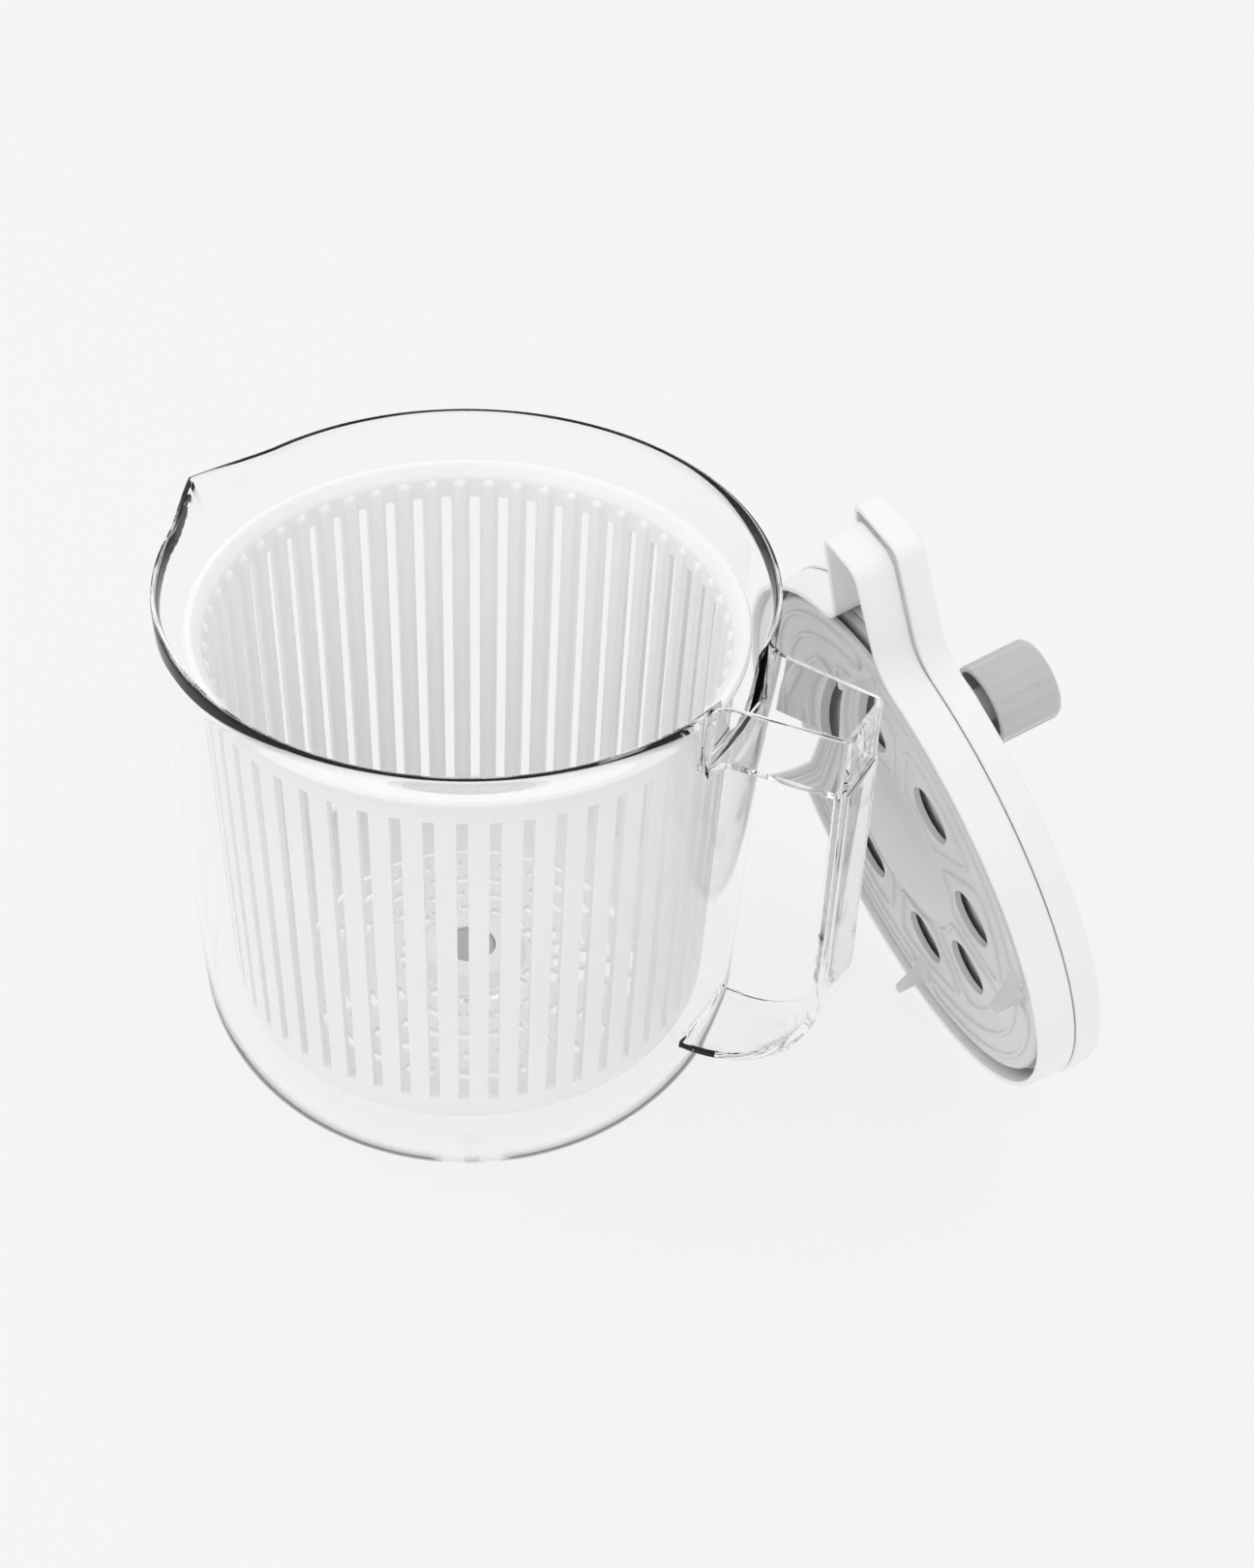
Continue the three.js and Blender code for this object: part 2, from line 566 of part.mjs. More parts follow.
function makeDrivePinion() {
  const teeth = prism(gearOutline(PINION_TEETH, 1), GEAR_BOTTOM, GEAR_TOP);
  const neck = disc(PINION_NECK_RADIUS, DISC_TOP + GAP, GEAR_BOTTOM + 1, 28);
  const key = prism(hexagon(HEX_RADIUS), DISC_BOTTOM, DISC_TOP + 1);
  const screwHole = disc(SCREW_HOLE_RADIUS, DISC_BOTTOM - OVERCUT, GEAR_TOP + OVERCUT, 10);
  const headRecess = disc(PINION_SCREW_HEAD_RADIUS + 0.4, PINION_SCREW_SEAT, GEAR_TOP + OVERCUT, 16);
  const pinion = teeth.add(neck).add(key).subtract(screwHole).subtract(headRecess);
  return toMesh('drive_pinion', pinion, GEAR_PLASTIC);
}

function makePinionScrew() {
  const head = disc(PINION_SCREW_HEAD_RADIUS, PINION_SCREW_SEAT + GAP, GEAR_TOP - GAP, 16);
  const shank = disc(SCREW_RADIUS, DISC_BOSS_BOTTOM + 1.8, GEAR_TOP - 1, 10);
  return toMesh('pinion_screw', head.add(shank), STEEL);
}

function makeThrustWasher() {
  const washer = ring(PINION_NECK_RADIUS + GAP, WASHER_RADIUS, DISC_TOP + GAP, PLATE_BOTTOM - GAP, 28);
  return toMesh('thrust_washer', washer, GEAR_PLASTIC);
}

function makeDriveDisc() {
  const plate = turned([
    [0, DISC_BOSS_BOTTOM], [DISC_BOSS_RADIUS - 3, DISC_BOSS_BOTTOM], [DISC_BOSS_RADIUS, DISC_BOTTOM],
    [DISC_RADIUS - 0.6, DISC_BOTTOM], [DISC_RADIUS, DISC_BOTTOM + 0.6],
    [DISC_RADIUS, DISC_TOP], [0, DISC_TOP],
  ], LID_SEGMENTS);
  let driveDisc = plate.subtract(prism(hexagon(HEX_RADIUS + GAP), DISC_BOTTOM - GAP, DISC_TOP + 1));
  driveDisc = driveDisc.subtract(disc(SCREW_HOLE_RADIUS, DISC_BOSS_BOTTOM + 1.5, DISC_TOP, 10));
  for (let i = 0; i < DISC_HOLES; i += 1) {
    const cutter = disc(DISC_HOLE_RADIUS, DISC_BOTTOM - OVERCUT, DISC_TOP + OVERCUT, 16);
    const hole = movedBy(cutter, DISC_HOLE_CIRCLE, 0, 0);
    driveDisc = driveDisc.subtract(turnedBy(hole, DISC_HOLE_TURN + 360 * i / DISC_HOLES));
  }
  const side = [
    [LUG_INNER, DISC_BOTTOM + 1], [LUG_INNER + 3, DISC_BOTTOM - 1],
    [LUG_OUTER - 3.5, DISC_BOTTOM - LUG_DEPTH],
    [LUG_OUTER - 0.5, DISC_BOTTOM - LUG_DEPTH], [LUG_OUTER, DISC_BOTTOM + 1],
  ];
  const lug = movedBy(prism(side, 0, LUG_THICKNESS).rotate([90, 0, 0]), 0, LUG_THICKNESS / 2, 0);
  for (let i = 0; i < DISC_LUGS; i += 1) {
    driveDisc = driveDisc.add(turnedBy(lug, 360 * i / DISC_LUGS));
  }
  return toMesh('drive_disc', driveDisc, GREY_PLASTIC);
}

// Crank and knob --------------------------------------------------------------------------------

function armOutline() {
  const tangent = Math.acos((CRANK_HUB_RADIUS - CRANK_END_RADIUS) / CRANK_LENGTH) / DEGREE;
  return [
    ...arc(0, 0, CRANK_HUB_RADIUS, tangent, 360 - tangent, 10),
    ...arc(CRANK_LENGTH, 0, CRANK_END_RADIUS, -tangent, tangent, 10),
  ];
}

function makeCrankArm() {
  const pinSocket = disc(KNOB_PIN_RADIUS + GAP, KNOB_PIN_SOCKET, CRANK_TOP + OVERCUT, 14);
  const arm = prism(armOutline(), CRANK_BOTTOM, CRANK_ARM_TOP)
    .add(disc(CRANK_HUB_RADIUS, CRANK_BOTTOM, CRANK_TOP, 28))
    .subtract(disc(SHAFT_RADIUS + GAP, CRANK_BOTTOM - OVERCUT, SHAFT_TOP + GAP, 28))
    .subtract(disc(SCREW_HOLE_RADIUS, CRANK_BOTTOM, CRANK_TOP, 10))
    .subtract(disc(CRANK_CAP_RADIUS, CRANK_SCREW_SEAT, CRANK_TOP + OVERCUT, 28))
    .subtract(movedBy(pinSocket, CRANK_LENGTH, 0, 0));
  return toMesh('crank_arm', arm, WHITE_PLASTIC);
}

function makeCrankScrew() {
  const seat = CRANK_SCREW_SEAT + GAP;
  const head = disc(4, seat, seat + 1.4, 16);
  const shank = disc(SCREW_RADIUS, LID_CEILING + 0.5, seat + 1, 10);
  return toMesh('crank_screw', head.add(shank), STEEL);
}

function makeCrankCap() {
  const radius = CRANK_CAP_RADIUS - GAP;
  const cap = turned([
    [0, CRANK_TOP - 0.8], [radius, CRANK_TOP - 0.8], [radius, CRANK_TOP + 0.6],
    [radius - 1.7, CRANK_TOP + 1.4], [0, CRANK_TOP + 1.8],
  ], 28);
  return toMesh('crank_cap', cap, GREY_PLASTIC);
}

function makeKnobPin() {
  const shank = disc(KNOB_PIN_RADIUS, KNOB_PIN_SOCKET + GAP, KNOB_RECESS_BOTTOM + 1, 14);
  const head = disc(KNOB_PIN_RADIUS * 2, KNOB_RECESS_BOTTOM + GAP, KNOB_RECESS_BOTTOM + 2, 16);
  const mesh = toMesh('knob_pin', shank.add(head), STEEL);
  mesh.position.set(CRANK_LENGTH, 0, 0);
  return mesh;
}

// Its boss stands on the arm, and the wall round it is open below.
function makeKnob() {
  const bore = KNOB_PIN_RADIUS + GAP;
  const recess = KNOB_CAP_RADIUS + GAP;
  const foot = CRANK_ARM_TOP + GAP;
  const inside = KNOB_RADIUS - KNOB_WALL;
  const knob = turned([
    [bore, foot], [KNOB_BOSS_RADIUS, foot], [KNOB_BOSS_RADIUS, KNOB_HOLLOW_TOP], [inside, KNOB_HOLLOW_TOP],
    [inside, KNOB_BOTTOM], [KNOB_RADIUS - 0.4, KNOB_BOTTOM], [KNOB_RADIUS, KNOB_BOTTOM + 0.6],
    [KNOB_RADIUS, KNOB_TOP - 3.5], ...arc(KNOB_RADIUS - 3, KNOB_TOP - 3, 3, 15, 90, 4),
    [recess, KNOB_TOP], [recess, KNOB_RECESS_BOTTOM], [bore, KNOB_RECESS_BOTTOM],
  ], 28);
  const mesh = toMesh('knob', knob, GREY_PLASTIC);
  mesh.position.set(CRANK_LENGTH, 0, 0);
  return mesh;
}

function makeKnobCap() {
  const mesh = toMesh('knob_cap', disc(KNOB_CAP_RADIUS, KNOB_TOP - 2.6, KNOB_TOP, 28), GREY_PLASTIC);
  mesh.position.set(CRANK_LENGTH, 0, 0);
  return mesh;
}

// Assembly --------------------------------------------------------------------------------------

const salad_spinner = new THREE.Group();
salad_spinner.add(makeJug(), makePivotPin(), makeBasket(), makePivotBush());

const lid = new THREE.Group();
lid.position.copy(LID_CENTRE);
lid.rotateZ(LID_HEADING);
lid.rotateY(Math.PI / 2 - LID_TILT);
lid.rotateZ(Math.PI + LID_TURN);
lid.add(makeLidCover(), makeLidSkirt(), makeGearPlate());
screwPlaces().forEach((place, i) => lid.add(makeCoverScrew(i + 1, place)));

// A gap of each idler faces the pinion and the ring, whose teeth stand on the line between centres.
lid.add(makeRingGear(), makeDrivePinion(), makePinionScrew(), makeThrustWasher(), makeDriveDisc());
idlerPlaces().forEach((place, i) => {
  lid.add(makeIdlerPin(i + 1, place));
  lid.add(makeIdlerGear(i + 1, place, 360 * i / IDLER_COUNT + 180 / IDLER_TEETH));
});

const crank = new THREE.Group();
crank.rotateZ(CRANK_ANGLE);
crank.add(makeCrankArm(), makeCrankScrew(), makeCrankCap(), makeKnobPin(), makeKnob(), makeKnobCap());
lid.add(crank);
salad_spinner.add(lid);

export default salad_spinner;
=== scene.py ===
import json
import math

import bmesh
import bpy
from mathutils import Matrix, Vector


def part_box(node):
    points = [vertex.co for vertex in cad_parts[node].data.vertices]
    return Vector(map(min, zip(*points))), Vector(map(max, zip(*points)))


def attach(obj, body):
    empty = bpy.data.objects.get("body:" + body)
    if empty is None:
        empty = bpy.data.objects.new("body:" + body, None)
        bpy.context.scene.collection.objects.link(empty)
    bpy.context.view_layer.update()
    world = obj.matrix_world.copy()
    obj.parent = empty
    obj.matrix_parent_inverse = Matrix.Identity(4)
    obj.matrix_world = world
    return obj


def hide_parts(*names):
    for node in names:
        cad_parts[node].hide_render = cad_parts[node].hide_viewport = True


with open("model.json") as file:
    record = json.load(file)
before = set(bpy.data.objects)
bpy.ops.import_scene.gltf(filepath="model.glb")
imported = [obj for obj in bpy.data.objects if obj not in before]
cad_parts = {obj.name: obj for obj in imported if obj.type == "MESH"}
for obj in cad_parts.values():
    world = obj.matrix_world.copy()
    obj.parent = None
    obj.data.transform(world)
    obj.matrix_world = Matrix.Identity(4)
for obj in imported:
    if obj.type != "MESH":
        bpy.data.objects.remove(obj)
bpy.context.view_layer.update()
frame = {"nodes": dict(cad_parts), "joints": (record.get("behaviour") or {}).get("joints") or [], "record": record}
JOINTS = {joint["name"]: joint for joint in frame["joints"]}

# Sizes are in millimetres, as in the CAD source, and become metres in make_object.
MM = 0.001
TURN = 2 * math.pi

# Jug
JUG_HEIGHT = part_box("jug")[1].z / MM
JUG_RIM_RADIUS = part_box("jug")[1].y / MM
JUG_FOOT_RADIUS = 84.4
JUG_WALL = 2.2
JUG_FLOOR = 3.0
JUG_CORNER = 36.0
JUG_SEGMENTS = 168
SPOUT_REACH = -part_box("jug")[0].x / MM - JUG_RIM_RADIUS
SPOUT_HALF_ANGLE = math.radians(17)
SPOUT_DEPTH = 42.0
TROUGH_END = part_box("jug")[1].x / MM
TROUGH_ROOT_HALF_WIDTH = 15.6
TROUGH_END_HALF_WIDTH = 12.0
TROUGH_DEPTH = 21.0
TROUGH_WALL = 1.6
TROUGH_FLARE = 8.0
GRIP_THICKNESS = 3.2
GRIP_BEND = 40.5
GRIP_BOTTOM = 42.0
GRIP_WALL_HALF_WIDTH = 15.0
BOSS_RADIUS = 9.0
BOSS_TOP = 22.0
PIN_HOLE_RADIUS = 2.8
PIN_HOLE_BOTTOM = 3.7

# Basket
BASKET_RIM_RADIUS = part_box("basket")[1].y / MM
BASKET_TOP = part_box("basket")[1].z / MM
BASKET_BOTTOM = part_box("basket")[0].z / MM
BASKET_SHOULDER_RADIUS = 80.5
BASKET_SHOULDER = 163.0
BASKET_LOWER_RADIUS = 76.0
BASKET_WALL = 2.0
BASKET_CORNER = 14.0
BASKET_FLOOR_RISE = 3.0
BASKET_SLOTS = 54
SLOT_BOTTOM = 41.0
SLOT_TOP = 156.3
SLOT_SHARE = 0.36
SLOT_COLUMNS = 2
BAR_COLUMNS = 8
BAR_HALF_WIDTH = 2.2
BAR_PROUD = 1.5
BAR_TOP = 162.4
BAR_RUN_OUT = 5.0
BAR_FOOT_STRETCH = 0.6
HUB_RADIUS = 18.0
HUB_TOP = 34.0
BUSH_HOLE_RADIUS = 8.3
FLOOR_RINGS = (21.4, 29.0, 37.0, 45.0, 53.0)
FLOOR_SLOT_WIDTH = 3.2
FLOOR_SLOTS = 27
FLOOR_SLOT_SHARE = 0.68

# Lid
LID_OUTER = 89.2
LID_SKIRT_RADIUS = 88.0
LID_WALL = 1.8
LID_PARTING = 12.0
LID_CEILING = 18.2
LID_TOP = 21.0
COVER_TAB = (130.0, 16.8, 13.2)
SKIRT_TAB = (126.0, 13.4, 10.0)
TAB_ROOT = 92.0
TAB_FLARE = 13.0
TAB_CORNER = 5.0
GEARBOX_RADIUS = 84.6
COLLAR_RADIUS = 12.0
COLLAR_TOP = 22.5
SHAFT_HOLE_RADIUS = 8.3

# Drive disc
DISC_RADIUS = 82.9
DISC_BOTTOM = 2.2
DISC_TOP = 4.2
DISC_BOSS_RADIUS = 30.0
DISC_BOSS_BOTTOM = -0.6
DISC_HOLES = 8
DISC_HOLE_RADIUS = 9.6
DISC_HOLE_CIRCLE = 47.0
DISC_HOLE_TURN = -8
DISC_LUGS = 4
LUG_DEPTH = 11.0
LUG_INNER = 66.0
LUG_OUTER = 77.0
LUG_THICKNESS = 3.0
RIDGE_WIDTH = 2.0
RIDGE_HEIGHT = 0.8
FRAME_INNER = 34.0
FRAME_OUTER = 62.0
CHANNEL_OUTER = DISC_RADIUS - 5
CHANNEL_INNER = DISC_RADIUS - 12.5

# Crank and knob
CRANK_BOTTOM = 23.0
CRANK_TOP = 30.0
CRANK_HUB_RADIUS = 16.0
CRANK_ARM_TOP = 26.8
CRANK_END_RADIUS = 14.0
CRANK_CAP_RADIUS = 10.0
SHAFT_TOP = 25.5
KNOB_RADIUS = 13.2
KNOB_BOTTOM = 30.2
KNOB_TOP = 51.6
KNOB_BOSS_RADIUS = 5.5
KNOB_WALL = 1.8
KNOB_HOLLOW_TOP = KNOB_BOTTOM + 12
KNOB_FLUTES = 18
KNOB_FLUTE_DEPTH = 0.5
KNOB_BORE = 3.3
KNOB_CAP_RADIUS = 8.0

# The lid's own frame: x towards its tab, z along its axis out of its top, worked out from the joints.
# The first idler gear stands on the line from the axis towards the tab.
LID_CENTRE = Vector(JOINTS["crank_turn"]["pos_m"])
LID_AXIS = Vector(JOINTS["crank_turn"]["axis"]).normalized()


def frame_towards(target):
    """Matrix of the frame on the lid's axis whose x runs towards a joint's place."""
    along = Vector(JOINTS[target]["pos_m"]) - LID_CENTRE
    along = (along - LID_AXIS * along.dot(LID_AXIS)).normalized()
    across = LID_AXIS.cross(along)
    place = Matrix((along, across, LID_AXIS)).transposed().to_4x4()
    place.translation = LID_CENTRE
    return place


LID_FRAME = frame_towards("idler_1_turn")
CRANK_FRAME = frame_towards("knob_spin")
CRANK_LENGTH = (Vector(JOINTS["knob_spin"]["pos_m"]) - LID_CENTRE).length / MM
KNOB_FRAME = CRANK_FRAME @ Matrix.Translation((CRANK_LENGTH * MM, 0, 0))


# Meshes ------------------------------------------------------------------------------------------

def make_object(name, points, faces, place=None, sharp=35):
    """An object from points in millimetres and faces, shaded smooth but for edges past an angle."""
    mesh = bpy.data.meshes.new(name)
    mesh.from_pydata([Vector(p) * MM for p in points], [], faces)
    tidy = bmesh.new()
    tidy.from_mesh(mesh)
    bmesh.ops.remove_doubles(tidy, verts=tidy.verts, dist=1e-6)
    bmesh.ops.recalc_face_normals(tidy, faces=tidy.faces)
    tidy.to_mesh(mesh)
    tidy.free()
    if place is not None:
        mesh.transform(place)
    mesh.shade_smooth()
    mesh.set_sharp_from_angle(angle=math.radians(sharp))
    obj = bpy.data.objects.new(name, mesh)
    bpy.context.scene.collection.objects.link(obj)
    return obj


def joined(parts):
    """One list of points and faces from several."""
    points, faces = [], []
    for more_points, more_faces in parts:
        start = len(points)
        points += more_points
        faces += [tuple(start + i for i in face) for face in more_faces]
    return points, faces


def lathe(profile, segments=96, reshape=None):
    """Turns a profile of (radius, height) about z. It closes on the axis or on itself."""
    points, rows = [], []
    for radius, height in profile:
        if radius < 1e-6:
            rows.append([len(points)] * segments)
            points.append((0, 0, height))
            continue
        rows.append(list(range(len(points), len(points) + segments)))
        for i in range(segments):
            angle = TURN * i / segments
            point = (radius * math.cos(angle), radius * math.sin(angle), height)
            points.append(reshape(*point) if reshape else point)
    if profile[0][0] > 1e-6:
        rows.append(rows[0])
    faces = []
    for low, high in zip(rows, rows[1:]):
        for i in range(segments):
            j = (i + 1) % segments
            face = []
            for k in (low[i], low[j], high[j], high[i]):
                if k not in face:
                    face.append(k)
            if len(face) > 2:
                faces.append(tuple(face))
    return points, faces


def loft(rings, capped=False):
    """Joins rings of equally many points. It is capped at both ends, or it closes on itself."""
    count = len(rings[0])
    points = [point for ring in rings for point in ring]
    faces = []
    steps = len(rings) - 1 if capped else len(rings)
    for k in range(steps):
        low, high = k * count, (k + 1) % len(rings) * count
        for i in range(count):
            j = (i + 1) % count
            faces.append((low + i, low + j, high + j, high + i))
    if capped:
        faces.append(tuple(reversed(range(count))))
        faces.append(tuple(range((len(rings) - 1) * count, len(rings) * count)))
    return points, faces


def polar(radius, degrees):
    """A point of a plan, at a radius from its origin and turned from x."""
    return radius * math.cos(math.radians(degrees)), radius * math.sin(math.radians(degrees))


def arc(x, y, radius, start, end, steps):
    """Points of an arc from start to end, in degrees, both ends included."""
    angles = [math.radians(start + (end - start) * i / steps) for i in range(steps + 1)]
    return [(x + radius * math.cos(a), y + radius * math.sin(a)) for a in angles]


def rounded(corners, radii, steps=6):
    """An outline with each of its corners rounded to a radius of its own."""
    outline = []
    for i, (corner, radius) in enumerate(zip(corners, radii)):
        here = Vector(corner)
        back = (Vector(corners[i - 1]) - here).normalized()
        ahead = (Vector(corners[(i + 1) % len(corners)]) - here).normalized()
        half = back.angle(ahead) / 2
        if radius <= 0:
            outline.append(tuple(here))
            continue
        reach = radius / math.tan(half)
        centre = here + (back + ahead).normalized() * (radius / math.sin(half))
        start = here + back * reach - centre
        end = here + ahead * reach - centre
        sweep = start.angle_signed(end)
        for k in range(steps + 1):
            turned = start.copy()
            turned.rotate(Matrix.Rotation(-sweep * k / steps, 2))
            outline.append(tuple(centre + turned))
    return outline


def inset(outline, distance):
    """The outline moved inwards by a distance, point by point. The outline runs counter-clockwise."""
    moved = []
    for i, point in enumerate(outline):
        back = Vector(point) - Vector(outline[i - 1])
        ahead = Vector(outline[(i + 1) % len(outline)]) - Vector(point)
        normals = [Vector((-d.y, d.x)).normalized() for d in (back, ahead)]
        mean = (normals[0] + normals[1]).normalized()
        moved.append(tuple(Vector(point) + mean * distance / max(mean.dot(normals[0]), 0.5)))
    return moved


def level(outline, height):
    return [(x, y, height) for x, y in outline]


def slab(outline, bottom, top, edge):
    """An outline raised from bottom to top, with both its edges rounded."""
    rings = []
    for share in (0, 0.35, 0.7, 1):
        rings.append(level(inset(outline, edge * (1 - math.sin(share * math.pi / 2))),
                           bottom + edge * (1 - math.cos(share * math.pi / 2))))
    for share in (1, 0.7, 0.35, 0):
        rings.append(level(inset(outline, edge * (1 - math.sin(share * math.pi / 2))),
                           top - edge * (1 - math.cos(share * math.pi / 2))))
    return loft(rings, capped=True)


def cylinder(radius, bottom, top, segments, place):
    """A plain cylinder to cut with."""
    profile = [(0, bottom), (radius, bottom), (radius, top), (0, top)]
    return make_object("cutter", *lathe(profile, segments), place)


def combine(target, tool, operation):
    """Joins or cuts one object with another, which is then removed."""
    step = target.modifiers.new("combine", "BOOLEAN")
    step.operation = operation
    step.solver = "EXACT"
    step.object = tool
    graph = bpy.context.evaluated_depsgraph_get()
    mesh = bpy.data.meshes.new_from_object(target.evaluated_get(graph))
    target.modifiers.clear()
    target.data = mesh
    bpy.data.objects.remove(tool)
    return target


def finish_piece(obj, body, slot, material, *nodes):
    """Gives a piece its material and body, and hides the CAD nodes it stands for."""
    obj.data.materials.clear()
    obj.data.materials.append(material)
    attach(obj, body)
    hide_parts(*nodes)
    return obj


# Materials ---------------------------------------------------------------------------------------

def new_material(name):
    material = bpy.data.materials.new(name)
    material.use_nodes = True
    return material, material.node_tree, material.node_tree.nodes["Principled BSDF"]


def noise(tree, scale, detail=3.0):
    place = tree.nodes.new("ShaderNodeTexCoord")
    texture = tree.nodes.new("ShaderNodeTexNoise")
    texture.inputs["Scale"].default_value = scale
    texture.inputs["Detail"].default_value = detail
    tree.links.new(place.outputs["Object"], texture.inputs["Vector"])
    return texture.outputs["Fac"]


def ramp(tree, source, low, high):
    """Maps a 0 to 1 pattern to a range of numbers."""
    node = tree.nodes.new("ShaderNodeMapRange")
    node.inputs["To Min"].default_value = low
    node.inputs["To Max"].default_value = high
    tree.links.new(source, node.inputs["Value"])
    return node.outputs["Result"]


def bump(tree, shader, source, strength, distance):
    node = tree.nodes.new("ShaderNodeBump")
    node.inputs["Strength"].default_value = strength
    node.inputs["Distance"].default_value = distance
    tree.links.new(source, node.inputs["Height"])
    tree.links.new(node.outputs["Normal"], shader.inputs["Normal"])


def tinted(tree, source, dark, light):
    node = tree.nodes.new("ShaderNodeValToRGB")
    node.color_ramp.elements[0].position = 0.35
    node.color_ramp.elements[1].position = 0.65
    node.color_ramp.elements[0].color = (*dark, 1)
    node.color_ramp.elements[1].color = (*light, 1)
    tree.links.new(source, node.inputs["Fac"])
    return node.outputs["Color"]


def moulded(name, dark, light, roughness, grain, subsurface=0.0, coat=0.0):
    """Moulded plastic: faint flow marks in the colour, a fine texture, and uneven gloss."""
    material, tree, shader = new_material(name)
    flow = noise(tree, 18, 2)
    tree.links.new(tinted(tree, flow, dark, light), shader.inputs["Base Color"])
    fine = noise(tree, 900, 2)
    tree.links.new(ramp(tree, noise(tree, 45), roughness - 0.05, roughness + 0.06),
                   shader.inputs["Roughness"])
    bump(tree, shader, fine, grain, 0.00006)
    shader.inputs["Subsurface Weight"].default_value = subsurface
    shader.inputs["Subsurface Radius"].default_value = (0.004, 0.004, 0.004)
    shader.inputs["Coat Weight"].default_value = coat
    shader.inputs["Coat Roughness"].default_value = 0.12
    return material


def clear_plastic():
    """Clear polished plastic, bending light weakly so that its edges stay pale. Lamps, and light on its way
    between other pieces, pass straight through."""
    material, tree, shader = new_material("clear_plastic")
    shader.inputs["Base Color"].default_value = (0.985, 0.99, 0.99, 1)
    shader.inputs["IOR"].default_value = 1.3
    shader.inputs["Transmission Weight"].default_value = 1
    tree.links.new(ramp(tree, noise(tree, 30), 0.0, 0.03), shader.inputs["Roughness"])
    light_path = tree.nodes.new("ShaderNodeLightPath")
    through = tree.nodes.new("ShaderNodeBsdfTransparent")
    through.inputs["Color"].default_value = (0.97, 0.975, 0.975, 1)
    surface = shader.outputs[0]
    for ray in ("Is Diffuse Ray", "Is Shadow Ray"):
        mix = tree.nodes.new("ShaderNodeMixShader")
        tree.links.new(light_path.outputs[ray], mix.inputs[0])
        tree.links.new(surface, mix.inputs[1])
        tree.links.new(through.outputs[0], mix.inputs[2])
        surface = mix.outputs[0]
    tree.links.new(surface, tree.nodes["Material Output"].inputs["Surface"])
    return material


def brushed_steel():
    material, tree, shader = new_material("steel")
    brushed = noise(tree, 400, 4)
    tree.links.new(tinted(tree, brushed, (0.55, 0.56, 0.58), (0.72, 0.73, 0.74)), shader.inputs["Base Color"])
    tree.links.new(ramp(tree, brushed, 0.22, 0.4), shader.inputs["Roughness"])
    shader.inputs["Metallic"].default_value = 1
    bump(tree, shader, brushed, 0.1, 0.00005)
    return material


CLEAR = clear_plastic()
BASKET = moulded("basket_plastic", (0.92, 0.92, 0.92), (0.95, 0.95, 0.95), 0.34, 0.12, subsurface=0.35)
WHITE = moulded("white_plastic", (0.86, 0.86, 0.86), (0.9, 0.9, 0.9), 0.3, 0.1, coat=0.15)
DISC = moulded("disc_plastic", (0.62, 0.62, 0.62), (0.68, 0.68, 0.68), 0.32, 0.12, subsurface=0.2)
GREY = moulded("grey_plastic", (0.5, 0.5, 0.505), (0.55, 0.55, 0.555), 0.26, 0.08, coat=0.35)
PLATE = moulded("plate_plastic", (0.6, 0.6, 0.605), (0.66, 0.66, 0.665), 0.55, 0.3)
GEAR = moulded("gear_plastic", (0.74, 0.72, 0.67), (0.8, 0.78, 0.73), 0.45, 0.15, subsurface=0.15)
BEARING = moulded("bearing_plastic", (0.42, 0.43, 0.44), (0.48, 0.49, 0.5), 0.5, 0.2)
STEEL = brushed_steel()


# Jug ---------------------------------------------------------------------------------------------

def jug_radius(height):
    return JUG_FOOT_RADIUS + (JUG_RIM_RADIUS - JUG_FOOT_RADIUS) * height / JUG_HEIGHT


def draw_spout(x, y, z):
    """Pulls the bowl out towards -x near its rim."""
    radius = math.hypot(x, y)
    away = abs(math.atan2(y, -x)) / SPOUT_HALF_ANGLE
    rise = (z - JUG_HEIGHT + SPOUT_DEPTH) / SPOUT_DEPTH
    if radius < JUG_FOOT_RADIUS / 2 or away >= 1 or rise <= 0:
        return (x, y, z)
    reach = SPOUT_REACH * (1 - away) ** 1.5 * min(rise, 1) ** 1.6
    return (x * (1 + reach / radius), y * (1 + reach / radius), z)


